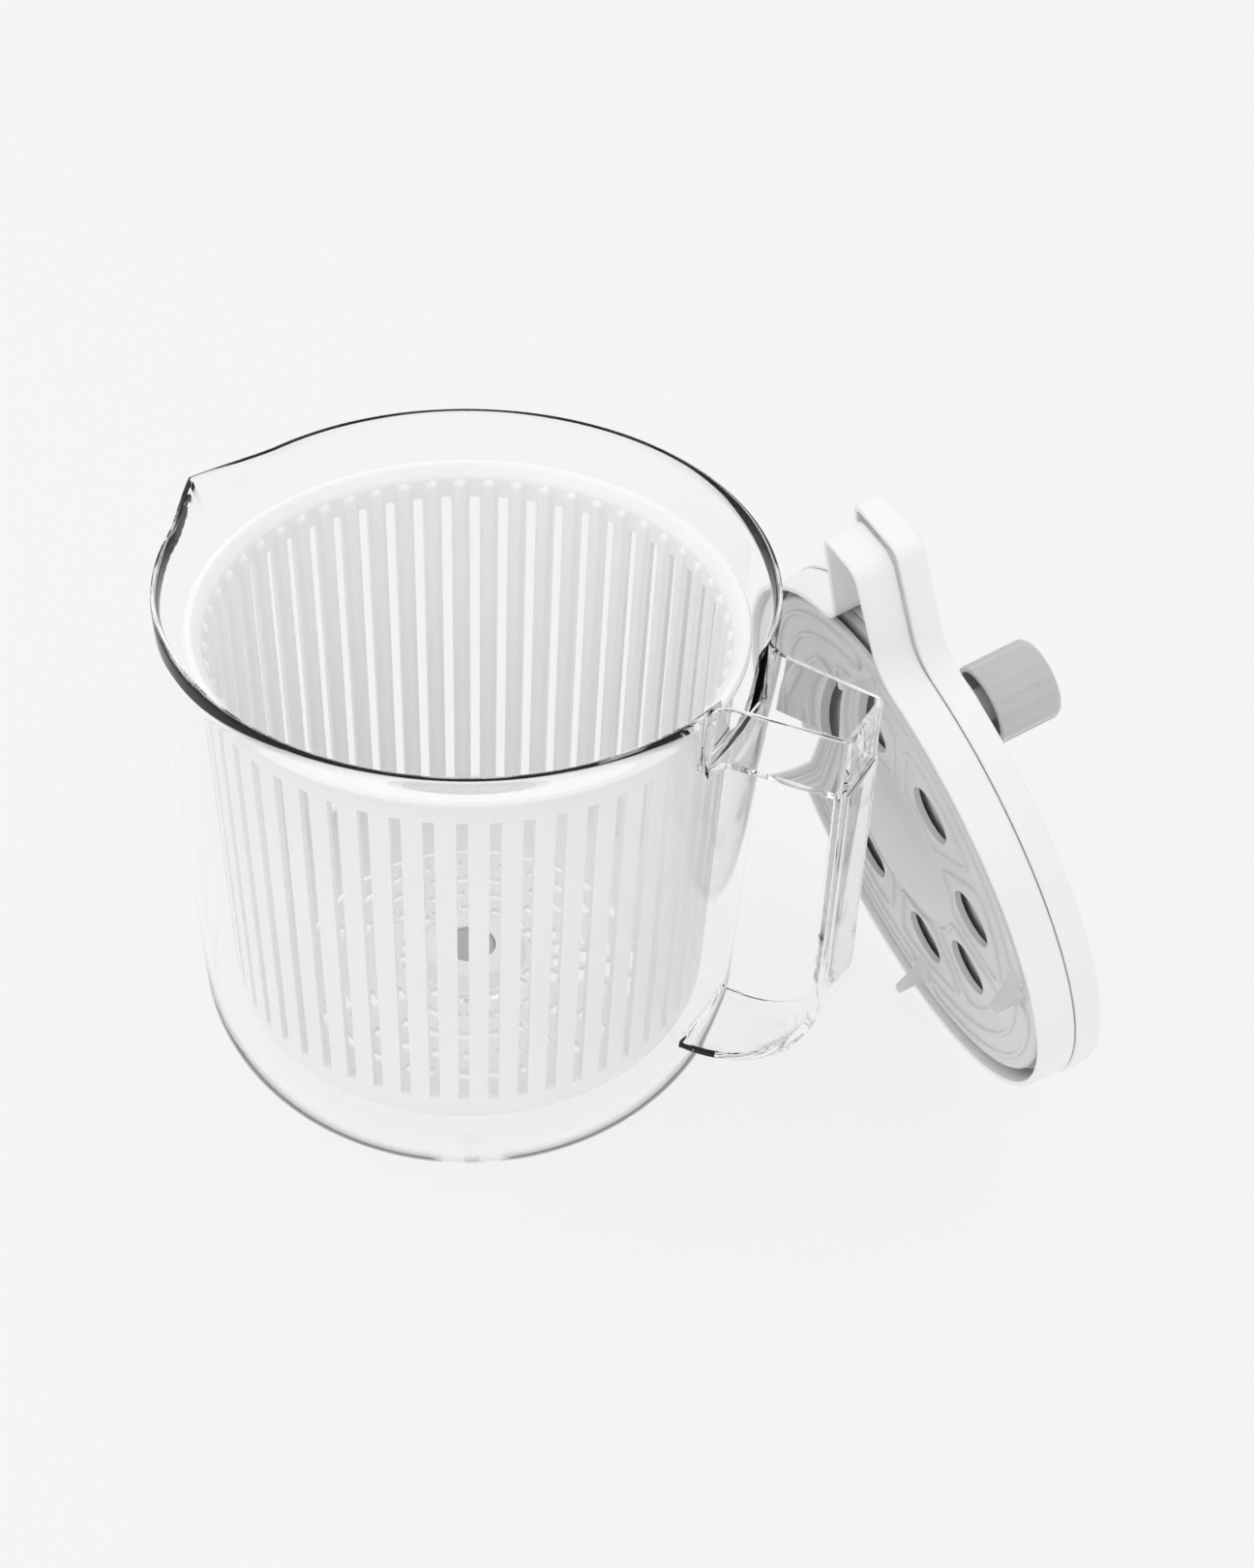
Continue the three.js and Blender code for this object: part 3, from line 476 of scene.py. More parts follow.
def jug_bowl():
    """The bowl with its floor and the boss of the pivot pin, as one closed surface."""
    inner = JUG_CORNER - JUG_WALL
    corner_x = jug_radius(JUG_CORNER) - JUG_CORNER
    low = JUG_CORNER
    shares = [i / 22 for i in range(1, 23)]
    lip = 0.9
    outer_wall = [(jug_radius(low + (JUG_HEIGHT - lip - low) * s), low + (JUG_HEIGHT - lip - low) * s)
                  for s in shares]
    start = JUG_FLOOR + inner
    inner_wall = [(jug_radius(start + (JUG_HEIGHT - lip - start) * s) - JUG_WALL,
                   start + (JUG_HEIGHT - lip - start) * s) for s in reversed([0] + shares)]
    rim = [(jug_radius(JUG_HEIGHT) - lip * 0.3, JUG_HEIGHT - lip * 0.3),
           (jug_radius(JUG_HEIGHT) - lip, JUG_HEIGHT),
           (jug_radius(JUG_HEIGHT) - JUG_WALL + lip, JUG_HEIGHT),
           (jug_radius(JUG_HEIGHT) - JUG_WALL + lip * 0.3, JUG_HEIGHT - lip * 0.3)]
    floor = arc(corner_x, JUG_FLOOR + inner, inner, 0, -90, 16)[1:]
    boss = [(BOSS_RADIUS + 4, JUG_FLOOR), (BOSS_RADIUS + 1, JUG_FLOOR + 1.6), (BOSS_RADIUS, BOSS_TOP - 0.8),
            (BOSS_RADIUS - 0.8, BOSS_TOP), (PIN_HOLE_RADIUS, BOSS_TOP), (PIN_HOLE_RADIUS, PIN_HOLE_BOTTOM),
            (0, PIN_HOLE_BOTTOM)]
    profile = [(0, 0), (corner_x * 0.5, 0), *arc(corner_x, JUG_CORNER, JUG_CORNER, -90, 0, 16),
               *outer_wall, *rim, *inner_wall, *floor, *boss]
    return lathe(profile, JUG_SEGMENTS, draw_spout)


def trough_outline(distance, start, corner):
    """Plan of the trough. Its sides flare into the wall and narrow towards its round-cornered end."""
    slope = (TROUGH_ROOT_HALF_WIDTH - TROUGH_END_HALF_WIDTH) / (TROUGH_END - JUG_RIM_RADIUS)
    side = math.atan(slope)
    end = TROUGH_END - distance
    half = TROUGH_END_HALF_WIDTH - distance + slope * distance
    # The flare's arc touches the trough's side and the wall's circle.
    x = JUG_RIM_RADIUS
    for _ in range(40):
        y = TROUGH_END_HALF_WIDTH + slope * (TROUGH_END - x) + TROUGH_FLARE / math.cos(side)
        x = math.sqrt((JUG_RIM_RADIUS + TROUGH_FLARE) ** 2 - y * y)
    meets_wall = math.degrees(math.atan2(y, x))
    flare = arc(x, y, TROUGH_FLARE + distance, -90 - math.degrees(side), -(180 - meets_wall), 8)
    tip = rounded([(x, -half), (end, -half), (end, half), (x, half)], [0, corner, corner, 0])[1:-1]
    mirrored = [(px, -py) for px, py in reversed(flare)]
    return [(start, -flare[-1][1]), *mirrored, *tip, *flare, (start, flare[-1][1])]


def grip_strip():
    """The loop of the handle: a flat strip with rounded edges, from the trough's end round to the wall."""
    top = JUG_HEIGHT - TROUGH_DEPTH + TROUGH_WALL * 0.6
    middle = TROUGH_END - GRIP_THICKNESS / 2
    bend_x, bend_z = TROUGH_END - GRIP_BEND, GRIP_BOTTOM + GRIP_BEND
    radius = GRIP_BEND - GRIP_THICKNESS / 2
    root = JUG_FOOT_RADIUS - 1.2
    drops = [(middle, top - (top - bend_z) * i / 10) for i in range(10)]
    turn = arc(bend_x, bend_z, radius, 0, -90, 20)
    path = [*drops, *turn, (root, bend_z - radius)]
    rings = []
    for i, (x, z) in enumerate(path):
        before, after = path[max(i - 1, 0)], path[min(i + 1, len(path) - 1)]
        along = Vector((after[0] - before[0], after[1] - before[1])).normalized()
        out = Vector((-along.y, along.x))
        share = min(max((middle - x) / (middle - root), 0), 1)
        half = TROUGH_END_HALF_WIDTH + (GRIP_WALL_HALF_WIDTH - TROUGH_END_HALF_WIDTH) * share ** 0.8
        thick = GRIP_THICKNESS / 2
        section = rounded([(-half, -thick), (half, -thick), (half, thick), (-half, thick)], [0.8] * 4, 3)
        rings.append([(x + out.x * t, w, z + out.y * t) for w, t in section])
    return loft(rings, capped=True)


def make_jug():
    floor = JUG_HEIGHT - TROUGH_DEPTH
    jug = make_object("jug_body", *jug_bowl())
    trough = make_object("trough", *slab(trough_outline(0, JUG_RIM_RADIUS - 3, 2.5), floor, JUG_HEIGHT, 0.4))
    space = trough_outline(TROUGH_WALL, JUG_RIM_RADIUS - 12, 1.2)
    cutter = make_object("cutter", *loft([level(space, floor + TROUGH_WALL), level(space, JUG_HEIGHT + 5)],
                                         capped=True))
    grip = make_object("grip", *grip_strip())
    jug = combine(jug, trough, "UNION")
    jug = combine(jug, grip, "UNION")
    jug = combine(jug, cutter, "DIFFERENCE")
    jug.data.shade_smooth()
    jug.data.set_sharp_from_angle(angle=math.radians(28))
    return finish_piece(jug, "jug", "clear_plastic", CLEAR, "jug")


# Basket ------------------------------------------------------------------------------------------

def basket_stations():
    """Pairs of outer and inner (radius, height) from the hub along the floor and up to the rim."""
    corner_z = BASKET_BOTTOM + BASKET_CORNER
    corner_x = BASKET_LOWER_RADIUS - BASKET_CORNER

    def floor(radius, kind):
        low = BASKET_BOTTOM + BASKET_FLOOR_RISE * (corner_x - radius) / (corner_x - HUB_RADIUS)
        return (radius, low), (radius, low + BASKET_WALL), kind

    stations = [floor(HUB_RADIUS - 1, "plain")]
    for radius in FLOOR_RINGS:
        half = FLOOR_SLOT_WIDTH / 2
        stations += [floor(radius - half, "ring"), floor(radius + half, "plain")]
    outer = arc(corner_x, corner_z, BASKET_CORNER, -90, 0, 8)
    inner = arc(corner_x, corner_z, BASKET_CORNER - BASKET_WALL, -90, 0, 8)
    stations += [(o, i, "plain") for o, i in zip(outer, inner)]

    def wall(height):
        share = (height - corner_z) / (BASKET_SHOULDER - corner_z)
        radius = BASKET_LOWER_RADIUS + (BASKET_SHOULDER_RADIUS - BASKET_LOWER_RADIUS) * share
        return (radius, height), (radius - BASKET_WALL, height)

    heights = [SLOT_BOTTOM + (SLOT_TOP - SLOT_BOTTOM) * i / 14 for i in range(15)]
    stations += [(*wall(h), "slot" if h < SLOT_TOP else "plain") for h in heights]
    fine = [SLOT_TOP + (BAR_TOP - SLOT_TOP + 0.4) * i / 10 for i in range(1, 11)]
    stations += [(*wall(h), "plain") for h in fine]
    stations.append((*wall(BASKET_SHOULDER), "plain"))
    rim = BASKET_RIM_RADIUS
    stations.append(((rim - 2.6, BASKET_TOP - 3.5), (rim - 4.6, BASKET_TOP - 2.6), "plain"))
    stations.append(((rim - 0.6, BASKET_TOP - 3), (rim - 3.7, BASKET_TOP - 1.5), "plain"))
    stations.append(((rim, BASKET_TOP - 2.2), (rim - 3.2, BASKET_TOP - 0.6), "plain"))
    stations.append(((rim, BASKET_TOP - 0.8), (rim - 2.5, BASKET_TOP), "plain"))
    stations.append(((rim - 0.7, BASKET_TOP), (rim - 1.6, BASKET_TOP), "plain"))
    return stations


def basket_columns():
    """Angles round the basket, each with whether a slot starts there, and the angle from slot to slot."""
    sector = TURN / BASKET_SLOTS
    slot = sector * SLOT_SHARE
    columns = []
    for k in range(BASKET_SLOTS):
        start = k * sector
        for i in range(SLOT_COLUMNS):
            columns.append((start - slot / 2 + slot * i / SLOT_COLUMNS, True))
        for i in range(BAR_COLUMNS):
            columns.append((start + slot / 2 + (sector - slot) * i / BAR_COLUMNS, False))
    return columns, sector


def bar_height(angle, sector, radius, height):
    """How far the bar between two slots stands proud of the wall's inner face. Its ends are round."""
    middle = (angle / sector - 0.5) % 1
    across = min(middle, 1 - middle) * sector * radius
    up = max(height - (BAR_TOP - BAR_HALF_WIDTH), 0)
    down = max(SLOT_BOTTOM - 2 - height, 0) * BAR_FOOT_STRETCH
    distance = math.hypot(across, max(up, down)) / BAR_HALF_WIDTH
    if distance >= 1:
        return 0.0
    return BAR_PROUD * math.sqrt(1 - distance ** 4)


def floor_slot(index, columns, row):
    """True where a column lies in one of the short slots of a floor ring."""
    period = columns // FLOOR_SLOTS
    return (index + row * period // 2) % period < period * FLOOR_SLOT_SHARE


def make_basket():
    stations = basket_stations()
    columns, sector = basket_columns()
    count = len(columns)
    points = []
    for outer, inner, _ in stations:
        for angle, _ in columns:
            points.append((outer[0] * math.cos(angle), outer[0] * math.sin(angle), outer[1]))
        for angle, _ in columns:
            radius = inner[0]
            if SLOT_BOTTOM - BAR_RUN_OUT < inner[1] < BASKET_SHOULDER:
                radius -= bar_height(angle, sector, inner[0], inner[1])
            points.append((radius * math.cos(angle), radius * math.sin(angle), inner[1]))
    rings = [i for i, station in enumerate(stations) if station[2] == "ring"]

    def solid(s, c):
        if s < 0 or s >= len(stations) - 1:
            return False
        kind = stations[s][2]
        if kind == "slot":
            in_slot = columns[c % count][1]
            return not in_slot
        if kind == "ring":
            return not floor_slot(c % count, count, rings.index(s))
        return True

    def at(s, c, inside):
        return s * 2 * count + (count if inside else 0) + c % count

    faces = []
    for s in range(len(stations) - 1):
        for c in range(count):
            if not solid(s, c):
                continue
            faces.append((at(s, c, False), at(s, c + 1, False), at(s + 1, c + 1, False), at(s + 1, c, False)))
            faces.append((at(s, c, True), at(s + 1, c, True), at(s + 1, c + 1, True), at(s, c + 1, True)))
            for ds, dc, a, b in ((-1, 0, (0, 0), (0, 1)), (1, 0, (1, 0), (1, 1)),
                                 (0, -1, (0, 0), (1, 0)), (0, 1, (0, 1), (1, 1))):
                if not solid(s + ds, c + dc):
                    faces.append((at(s + a[0], c + a[1], False), at(s + b[0], c + b[1], False),
                                  at(s + b[0], c + b[1], True), at(s + a[0], c + a[1], True)))
    return points, faces


def basket_hub():
    """The raised hub in the basket's floor, hollow for the pivot bush."""
    foot = BASKET_BOTTOM + BASKET_FLOOR_RISE
    low = foot + 2.3
    return lathe([
        (HUB_RADIUS - 4, low), (HUB_RADIUS - 4, foot), (HUB_RADIUS - 0.9, foot),
        (HUB_RADIUS + 0.4, foot + 2), (HUB_RADIUS - 0.6, foot + 3),
        (HUB_RADIUS - 1.8, HUB_TOP - 1.6), (HUB_RADIUS - 2.4, HUB_TOP - 0.5), (HUB_RADIUS - 3.6, HUB_TOP),
        (BUSH_HOLE_RADIUS + 0.4, HUB_TOP), (BUSH_HOLE_RADIUS, HUB_TOP - 0.4), (BUSH_HOLE_RADIUS, low),
    ])


def place_basket():
    basket = make_object("basket_strainer", *joined([make_basket(), basket_hub()]), sharp=40)
    return finish_piece(basket, "basket", "basket_plastic", BASKET, "basket")


# Lid ---------------------------------------------------------------------------------------------

def lid_outline(radius, tab, steps=120):
    """Plan of the lid: a circle with a tab towards +x that flares into it, corners rounded."""
    end, root_half, end_half = tab
    slope = (root_half - end_half) / (end - TAB_ROOT)

    def half(x):
        return end_half + slope * (end - x)

    # The centre of the flare's arc lies off the tab's side by its radius and off the circle's too.
    flare = TAB_FLARE
    side = math.atan(slope)
    x = radius
    for _ in range(40):
        y = half(x) + flare / math.cos(side)
        x = math.sqrt(max((radius + flare) ** 2 - y * y, 1))
    y = half(x) + flare / math.cos(side)
    meets_circle = math.degrees(math.atan2(y, x))
    flare_arc = arc(x, y, flare, -90 - math.degrees(side), -(180 - meets_circle), 8)
    tip = rounded([(x, -half(x)), (end, -half(end)), (end, half(end)), (x, half(x))],
                  [0, TAB_CORNER, TAB_CORNER, 0], 7)[1:-1]
    circle = arc(0, 0, radius, meets_circle, 360 - meets_circle, steps)
    mirrored = [(px, -py) for px, py in reversed(flare_arc)]
    return [*tip, *flare_arc, *circle[1:-1], *mirrored]


def hollow_rings(outline, levels):
    return [level(inset(outline, distance), height) for distance, height in levels]


def make_lid_cover():
    low = LID_PARTING + 0.3
    plan = lid_outline(LID_OUTER, COVER_TAB)
    shell = loft(hollow_rings(plan, [
        (LID_WALL, LID_CEILING), (LID_WALL, low), (0.35, low), (0, low + 0.35), (0, LID_TOP - 1.4),
        (0.2, LID_TOP - 0.7), (0.7, LID_TOP - 0.2), (1.4, LID_TOP),
    ]), capped=True)
    gearbox = lathe([(GEARBOX_RADIUS - 2, LID_CEILING + 0.5), (GEARBOX_RADIUS - 2, 8.5),
                     (GEARBOX_RADIUS, 8.5), (GEARBOX_RADIUS, LID_CEILING + 0.5)], 128)
    collar = lathe([(SHAFT_HOLE_RADIUS, LID_TOP - 1.5), (COLLAR_RADIUS + 0.5, LID_TOP - 1.5),
                    (COLLAR_RADIUS, COLLAR_TOP - 0.5), (COLLAR_RADIUS - 0.5, COLLAR_TOP),
                    (SHAFT_HOLE_RADIUS, COLLAR_TOP)], 64)
    cover = make_object("lid_cover_shell", *joined([shell, gearbox, collar]), LID_FRAME)
    return finish_piece(cover, "lid", "white_plastic", WHITE, "lid_cover")


def make_lid_skirt():
    plan = lid_outline(LID_SKIRT_RADIUS, SKIRT_TAB)
    skirt = loft(hollow_rings(plan, [
        (LID_WALL - 0.4, 0), (0.5, 0), (0.1, 0.25), (0, 0.7), (-0.5, LID_PARTING - 1.4),
        (-0.55, LID_PARTING - 0.5), (-0.2, LID_PARTING), (LID_WALL, LID_PARTING), (LID_WALL, 0.4),
    ]))
    ring = make_object("lid_skirt_ring", *skirt, LID_FRAME)
    return finish_piece(ring, "lid", "white_plastic", WHITE, "lid_skirt")


# Drive disc --------------------------------------------------------------------------------------

def ridge(path):
    """A low rounded ridge that stands on the disc's face along a closed path."""
    half, base, face = RIDGE_WIDTH / 2, DISC_BOTTOM + 0.3, DISC_BOTTOM - RIDGE_HEIGHT
    section = [(-half, base), (-half * 0.8, DISC_BOTTOM - RIDGE_HEIGHT * 0.45), (-half * 0.35, face),
               (half * 0.35, face), (half * 0.8, DISC_BOTTOM - RIDGE_HEIGHT * 0.45), (half, base)]
    rings = []
    for i, here in enumerate(path):
        along = (Vector(path[(i + 1) % len(path)]) - Vector(path[i - 1])).normalized()
        rings.append([(here[0] - along.y * s, here[1] + along.x * s, h) for s, h in section])
    return loft(rings)


def turned_path(path, degrees):
    turn = Matrix.Rotation(math.radians(degrees), 2)
    return [tuple(turn @ Vector(point)) for point in path]


def channel_path(start, end):
    """A long channel near the disc's edge, between two lugs, with round ends."""
    middle = (CHANNEL_OUTER + CHANNEL_INNER) / 2
    small = (CHANNEL_OUTER - CHANNEL_INNER) / 2
    return [*arc(0, 0, CHANNEL_OUTER, start, end, 16)[:-1],
            *arc(*polar(middle, end), small, end, end + 180, 6),
            *arc(0, 0, CHANNEL_INNER, end, start, 16)[1:-1],
            *arc(*polar(middle, start), small, start + 180, start + 360, 6)]


def sector_path():
    """A frame round the hole that stands towards +x: two spokes, an arc outside and one inside."""
    outside = [polar(FRAME_OUTER, angle) for angle in (-19.5, -10, 0, 10, 19.5)]
    points = [polar(FRAME_INNER, -17), *outside, polar(FRAME_INNER, 17), (FRAME_INNER, 0)]
    return rounded(points, [3.5, 4.5, 0, 0, 0, 4.5, 3.5, 0])


def lug():
    """A fin of the disc that turns the basket, with a wide foot."""
    foot, tip = DISC_BOTTOM + 0.5, DISC_BOTTOM - LUG_DEPTH
    rings = []
    for depth, widen in ((foot, 1.6), (DISC_BOTTOM - 0.2, 1.5), (DISC_BOTTOM - 0.8, 0.7),
                         (DISC_BOTTOM - 2, 0.15), (DISC_BOTTOM - 3.5, 0),
                         (tip + 0.7, -0.05), (tip + 0.15, -0.45), (tip, -0.9)):
        share = min(max((DISC_BOTTOM - 1 - depth) / (LUG_DEPTH - 1), 0), 1)
        low = LUG_INNER + 2 + (LUG_OUTER - LUG_INNER - 5.5) * share - widen
        high = LUG_OUTER - 0.6 + min(widen, 0.6)
        half = LUG_THICKNESS / 2 - 0.2 * share + widen
        corners = [(low, -half), (high, -half), (high, half), (low, half)]
        rings.append(level(rounded(corners, [min(1.0, half * 0.7)] * 4, 3), depth))
    return loft(rings, capped=True)


def turned_mesh(part, degrees):
    points, faces = part
    turn = Matrix.Rotation(math.radians(degrees), 3, "Z")
    return [tuple(turn @ Vector(point)) for point in points], faces


def make_drive_disc():
    boss = DISC_BOSS_RADIUS
    plate = make_object("drive_disc_plate", *lathe([
        (0, DISC_TOP), (0, DISC_BOSS_BOTTOM),
        (boss - 12, DISC_BOSS_BOTTOM + 0.1), (boss - 5, DISC_BOSS_BOTTOM + 0.7),
        (boss - 1.5, DISC_BOTTOM - 0.7), (boss + 1, DISC_BOTTOM), (DISC_RADIUS - 3, DISC_BOTTOM),
        (DISC_RADIUS - 0.6, DISC_BOTTOM), (DISC_RADIUS, DISC_BOTTOM + 0.6), (DISC_RADIUS, DISC_TOP - 0.3),
        (DISC_RADIUS - 0.3, DISC_TOP), (14.6, DISC_TOP), (14.6, DISC_TOP - 0.01),
    ], 144))
    for i in range(DISC_HOLES):
        angle = TURN * i / DISC_HOLES + math.radians(DISC_HOLE_TURN)
        x, y = DISC_HOLE_CIRCLE * math.cos(angle), DISC_HOLE_CIRCLE * math.sin(angle)
        outline = arc(x, y, DISC_HOLE_RADIUS, 0, 352.5, 47)
        cutter = make_object("cutter", *loft([level(outline, DISC_BOTTOM - 3), level(outline, DISC_TOP + 3)],
                                             capped=True))
        plate = combine(plate, cutter, "DIFFERENCE")
    parts = [([tuple(vertex.co / MM) for vertex in plate.data.vertices],
              [tuple(polygon.vertices) for polygon in plate.data.polygons])]
    for i in range(DISC_HOLES):
        parts.append(ridge(turned_path(sector_path(), DISC_HOLE_TURN + 360 * i / DISC_HOLES)))
    for i in range(DISC_LUGS):
        angle = 360 * i / DISC_LUGS
        parts.append(ridge(turned_path(channel_path(7, 83), angle)))
        parts.append(turned_mesh(lug(), angle))
    bpy.data.objects.remove(plate)
    disc = make_object("drive_disc_face", *joined(parts), LID_FRAME, sharp=32)
    return finish_piece(disc, "drive", "disc_plastic", DISC, "drive_disc")


# Crank and knob ----------------------------------------------------------------------------------

def make_crank_arm():
    tangent = math.degrees(math.acos((CRANK_HUB_RADIUS - CRANK_END_RADIUS) / CRANK_LENGTH))
    outline = [*arc(0, 0, CRANK_HUB_RADIUS, tangent, 360 - tangent, 40),
               *arc(CRANK_LENGTH, 0, CRANK_END_RADIUS, -tangent, tangent, 40)]
    arm = make_object("crank_arm_body", *slab(outline, CRANK_BOTTOM, CRANK_ARM_TOP, 1.0), CRANK_FRAME)
    hub = make_object("crank_hub", *lathe([
        (0, CRANK_BOTTOM + 0.4), (CRANK_HUB_RADIUS - 0.8, CRANK_BOTTOM + 0.4),
        (CRANK_HUB_RADIUS - 0.4, CRANK_ARM_TOP),
        (CRANK_HUB_RADIUS - 0.8, CRANK_ARM_TOP + 0.6), (CRANK_HUB_RADIUS - 1.6, CRANK_TOP - 0.9),
        (CRANK_HUB_RADIUS - 2.2, CRANK_TOP - 0.2), (CRANK_HUB_RADIUS - 3, CRANK_TOP), (0, CRANK_TOP),
    ], 96), CRANK_FRAME)
    arm = combine(arm, hub, "UNION")
    seat = cylinder(CRANK_CAP_RADIUS, SHAFT_TOP + 1.5, CRANK_TOP + 3, 64, CRANK_FRAME)
    arm = combine(arm, seat, "DIFFERENCE")
    socket = cylinder(SHAFT_HOLE_RADIUS, CRANK_BOTTOM - 3, SHAFT_TOP + 0.3, 64, CRANK_FRAME)
    arm = combine(arm, socket, "DIFFERENCE")
    pin = cylinder(KNOB_BORE, CRANK_BOTTOM + 0.8, CRANK_TOP + 3, 32, KNOB_FRAME)
    arm = combine(arm, pin, "DIFFERENCE")
    arm.data.shade_smooth()
    arm.data.set_sharp_from_angle(angle=math.radians(35))
    return finish_piece(arm, "crank", "white_plastic", WHITE, "crank_arm")


def make_crank_cap():
    radius = CRANK_CAP_RADIUS - 0.3
    cap = lathe([(0, CRANK_TOP - 0.8), (radius, CRANK_TOP - 0.8), (radius, CRANK_TOP + 0.4),
                 (radius - 0.5, CRANK_TOP + 0.9), (radius - 3, CRANK_TOP + 1.5), (0, CRANK_TOP + 1.8)], 64)
    obj = make_object("crank_cap_disc", *cap, CRANK_FRAME)
    return finish_piece(obj, "crank", "grey_plastic", GREY, "crank_cap")


def flute(x, y, z):
    """Presses wide flutes with crests between them into the knob's side, fading out towards its ends."""
    radius = math.hypot(x, y)
    if radius < KNOB_CAP_RADIUS + 2:
        return (x, y, z)
    wave = abs(math.cos(KNOB_FLUTES / 2 * math.atan2(y, x)))
    fade = min(max((KNOB_TOP - 1.2 - z) / 5, 0), 1) * min(max((z - KNOB_BOTTOM) / 2, 0), 1)
    scale = 1 - KNOB_FLUTE_DEPTH * wave * fade / radius
    return (x * scale, y * scale, z)


def make_knob():
    recess = KNOB_CAP_RADIUS + 0.3
    side = [(KNOB_RADIUS - 0.1, KNOB_BOTTOM + 0.5 + (KNOB_TOP - 4.5 - KNOB_BOTTOM) * i / 12)
            for i in range(13)]
    foot, inside = CRANK_ARM_TOP + 0.3, KNOB_RADIUS - KNOB_WALL
    profile = [(KNOB_BORE, foot), (KNOB_BOSS_RADIUS, foot), (KNOB_BOSS_RADIUS, KNOB_HOLLOW_TOP),
               (inside, KNOB_HOLLOW_TOP), (inside, KNOB_BOTTOM), (KNOB_RADIUS - 0.5, KNOB_BOTTOM),
               *side, *arc(KNOB_RADIUS - 3.4, KNOB_TOP - 3.4, 3.4, 8, 90, 10), (recess + 0.3, KNOB_TOP),
               (recess, KNOB_TOP - 0.3), (recess, KNOB_TOP - 5), (KNOB_BORE, KNOB_TOP - 5)]
    knob = make_object("knob_grip", *lathe(profile, 216, flute), KNOB_FRAME)
    return finish_piece(knob, "knob", "grey_plastic", GREY, "knob")


def make_knob_cap():
    cap = lathe([(0, KNOB_TOP - 2.6), (KNOB_CAP_RADIUS, KNOB_TOP - 2.6), (KNOB_CAP_RADIUS, KNOB_TOP - 0.4),
                 (KNOB_CAP_RADIUS - 0.4, KNOB_TOP), (0, KNOB_TOP)], 64)
    obj = make_object("knob_cap_disc", *cap, KNOB_FRAME)
    return finish_piece(obj, "knob", "grey_plastic", GREY, "knob_cap")


# CAD nodes that keep their shape and get a finish ------------------------------------------------

def paint_nodes():
    finishes = {"steel": STEEL, "gear_plastic": GEAR, "bearing_plastic": BEARING, "plate_plastic": PLATE,
                "white_plastic": WHITE, "grey_plastic": GREY, "disc_plastic": DISC}
    for part in frame["record"]["subparts"]:
        node = frame["nodes"][part["node"]]
        finish = finishes.get(part["material_slot"])
        if node.hide_render or finish is None:
            continue
        for slot in node.material_slots:
            slot.material = finish


# Stage -------------------------------------------------------------------------------------------

FLOOR_HALF_SIZE = 6000
FLOOR_LEVEL = -0.2
FLOOR_GLOW = 0.77
HORIZON_STRENGTH = 0.82
ZENITH_STRENGTH = 1.0
LAMP_SIZE = 1.4
LAMP_ENERGY = 2.5
LAMP_PLACE = (-0.5, -0.7, 1.4)
LAMP_AIM = (0.04, 0.02, 0.1)
GLASS_BOUNCES = 24
CAMERA_PLACE = (0.3246, -0.5292, 0.6309)
CAMERA_AIM = (0.0437, 0.0222, 0.1048)
CAMERA_LENS = 60
CAMERA_ROLL = math.radians(2.68)


def make_camera():
    camera = bpy.data.objects.new("camera", bpy.data.cameras.new("camera"))
    bpy.context.scene.collection.objects.link(camera)
    camera.data.lens = CAMERA_LENS
    camera.location = CAMERA_PLACE
    look = (Vector(CAMERA_AIM) - Vector(CAMERA_PLACE)).to_track_quat("-Z", "Y").to_matrix()
    camera.rotation_euler = (look @ Matrix.Rotation(CAMERA_ROLL, 3, "Z")).to_euler()
    bpy.context.scene.camera = camera


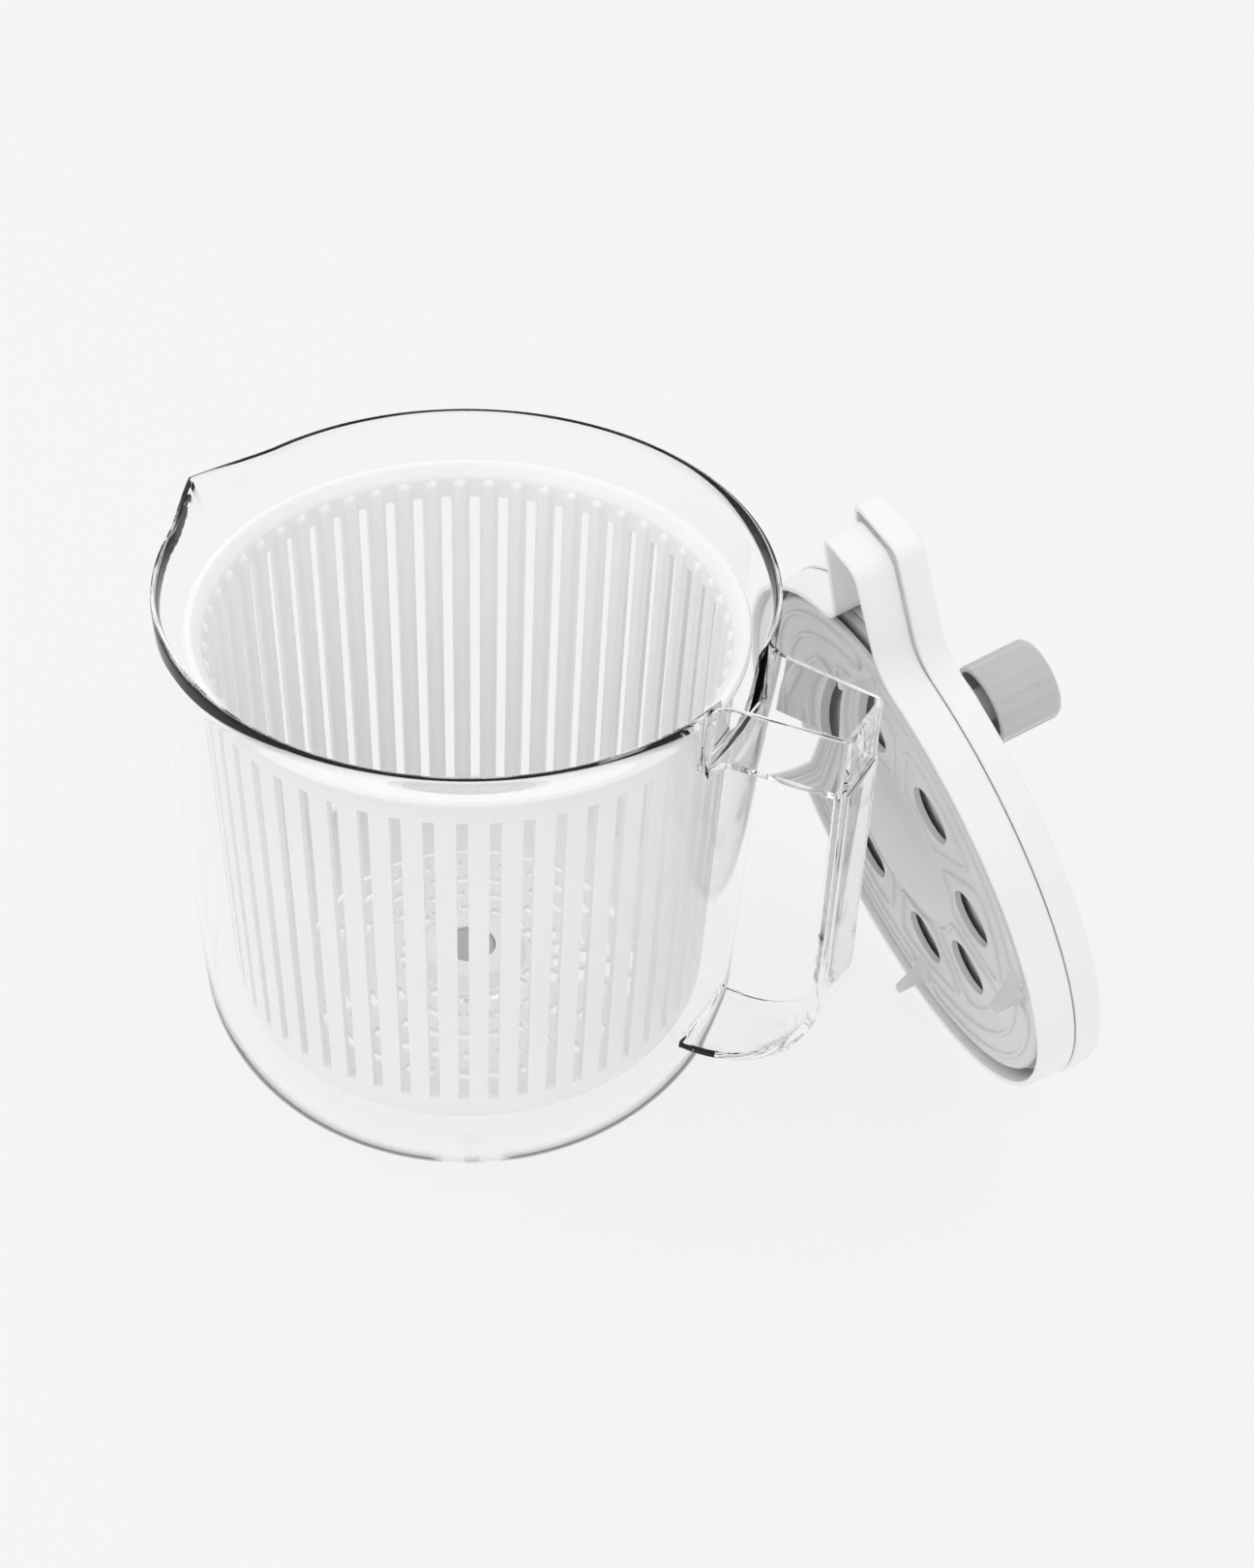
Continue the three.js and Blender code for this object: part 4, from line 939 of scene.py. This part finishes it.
def make_floor():
    """A wide pale floor that gives part of its own light, so that it stays even under the object."""
    half = FLOOR_HALF_SIZE
    corners = [(-half, -half), (half, -half), (half, half), (-half, half)]
    floor = make_object("floor", level(corners, FLOOR_LEVEL), [(0, 1, 2, 3)])
    material, tree, shader = new_material("floor")
    shader.inputs["Base Color"].default_value = (0.14, 0.14, 0.14, 1)
    shader.inputs["Roughness"].default_value = 0.9
    shader.inputs["Specular IOR Level"].default_value = 0
    shader.inputs["Emission Color"].default_value = (1, 1, 1, 1)
    shader.inputs["Emission Strength"].default_value = FLOOR_GLOW
    floor.data.materials.append(material)


def make_light():
    """A soft dome, a little greyer near the horizon than above, and one large soft lamp."""
    world = bpy.data.worlds.new("studio")
    bpy.context.scene.world = world
    world.use_nodes = True
    tree = world.node_tree
    place = tree.nodes.new("ShaderNodeTexCoord")
    split = tree.nodes.new("ShaderNodeSeparateXYZ")
    tree.links.new(place.outputs["Generated"], split.inputs[0])
    shade = tree.nodes.new("ShaderNodeMapRange")
    shade.interpolation_type = "SMOOTHSTEP"
    shade.inputs["From Min"].default_value = 0.0
    shade.inputs["From Max"].default_value = 0.6
    shade.inputs["To Min"].default_value = HORIZON_STRENGTH
    shade.inputs["To Max"].default_value = ZENITH_STRENGTH
    tree.links.new(split.outputs["Z"], shade.inputs["Value"])
    tree.nodes["Background"].inputs["Color"].default_value = (1, 1, 1, 1)
    tree.links.new(shade.outputs["Result"], tree.nodes["Background"].inputs["Strength"])
    lamp = bpy.data.objects.new("key", bpy.data.lights.new("key", "AREA"))
    lamp.data.shape = "DISK"
    lamp.data.size = LAMP_SIZE
    lamp.data.energy = LAMP_ENERGY
    lamp.location = LAMP_PLACE
    lamp.rotation_euler = (Vector(LAMP_AIM) - lamp.location).to_track_quat("-Z", "Y").to_euler()
    bpy.context.scene.collection.objects.link(lamp)


def set_rendering():
    """Plain colours, and enough bounces for light to cross every wall of the clear jug."""
    scene = bpy.context.scene
    scene.view_settings.view_transform = "Standard"
    scene.cycles.max_bounces = GLASS_BOUNCES
    scene.cycles.transmission_bounces = GLASS_BOUNCES
    scene.cycles.glossy_bounces = GLASS_BOUNCES
    scene.cycles.transparent_max_bounces = 32
    scene.cycles.diffuse_bounces = 4


make_camera()
make_jug()
place_basket()
make_lid_cover()
make_lid_skirt()
make_drive_disc()
make_crank_arm()
make_crank_cap()
make_knob()
make_knob_cap()
paint_nodes()
make_floor()
make_light()
set_rendering()
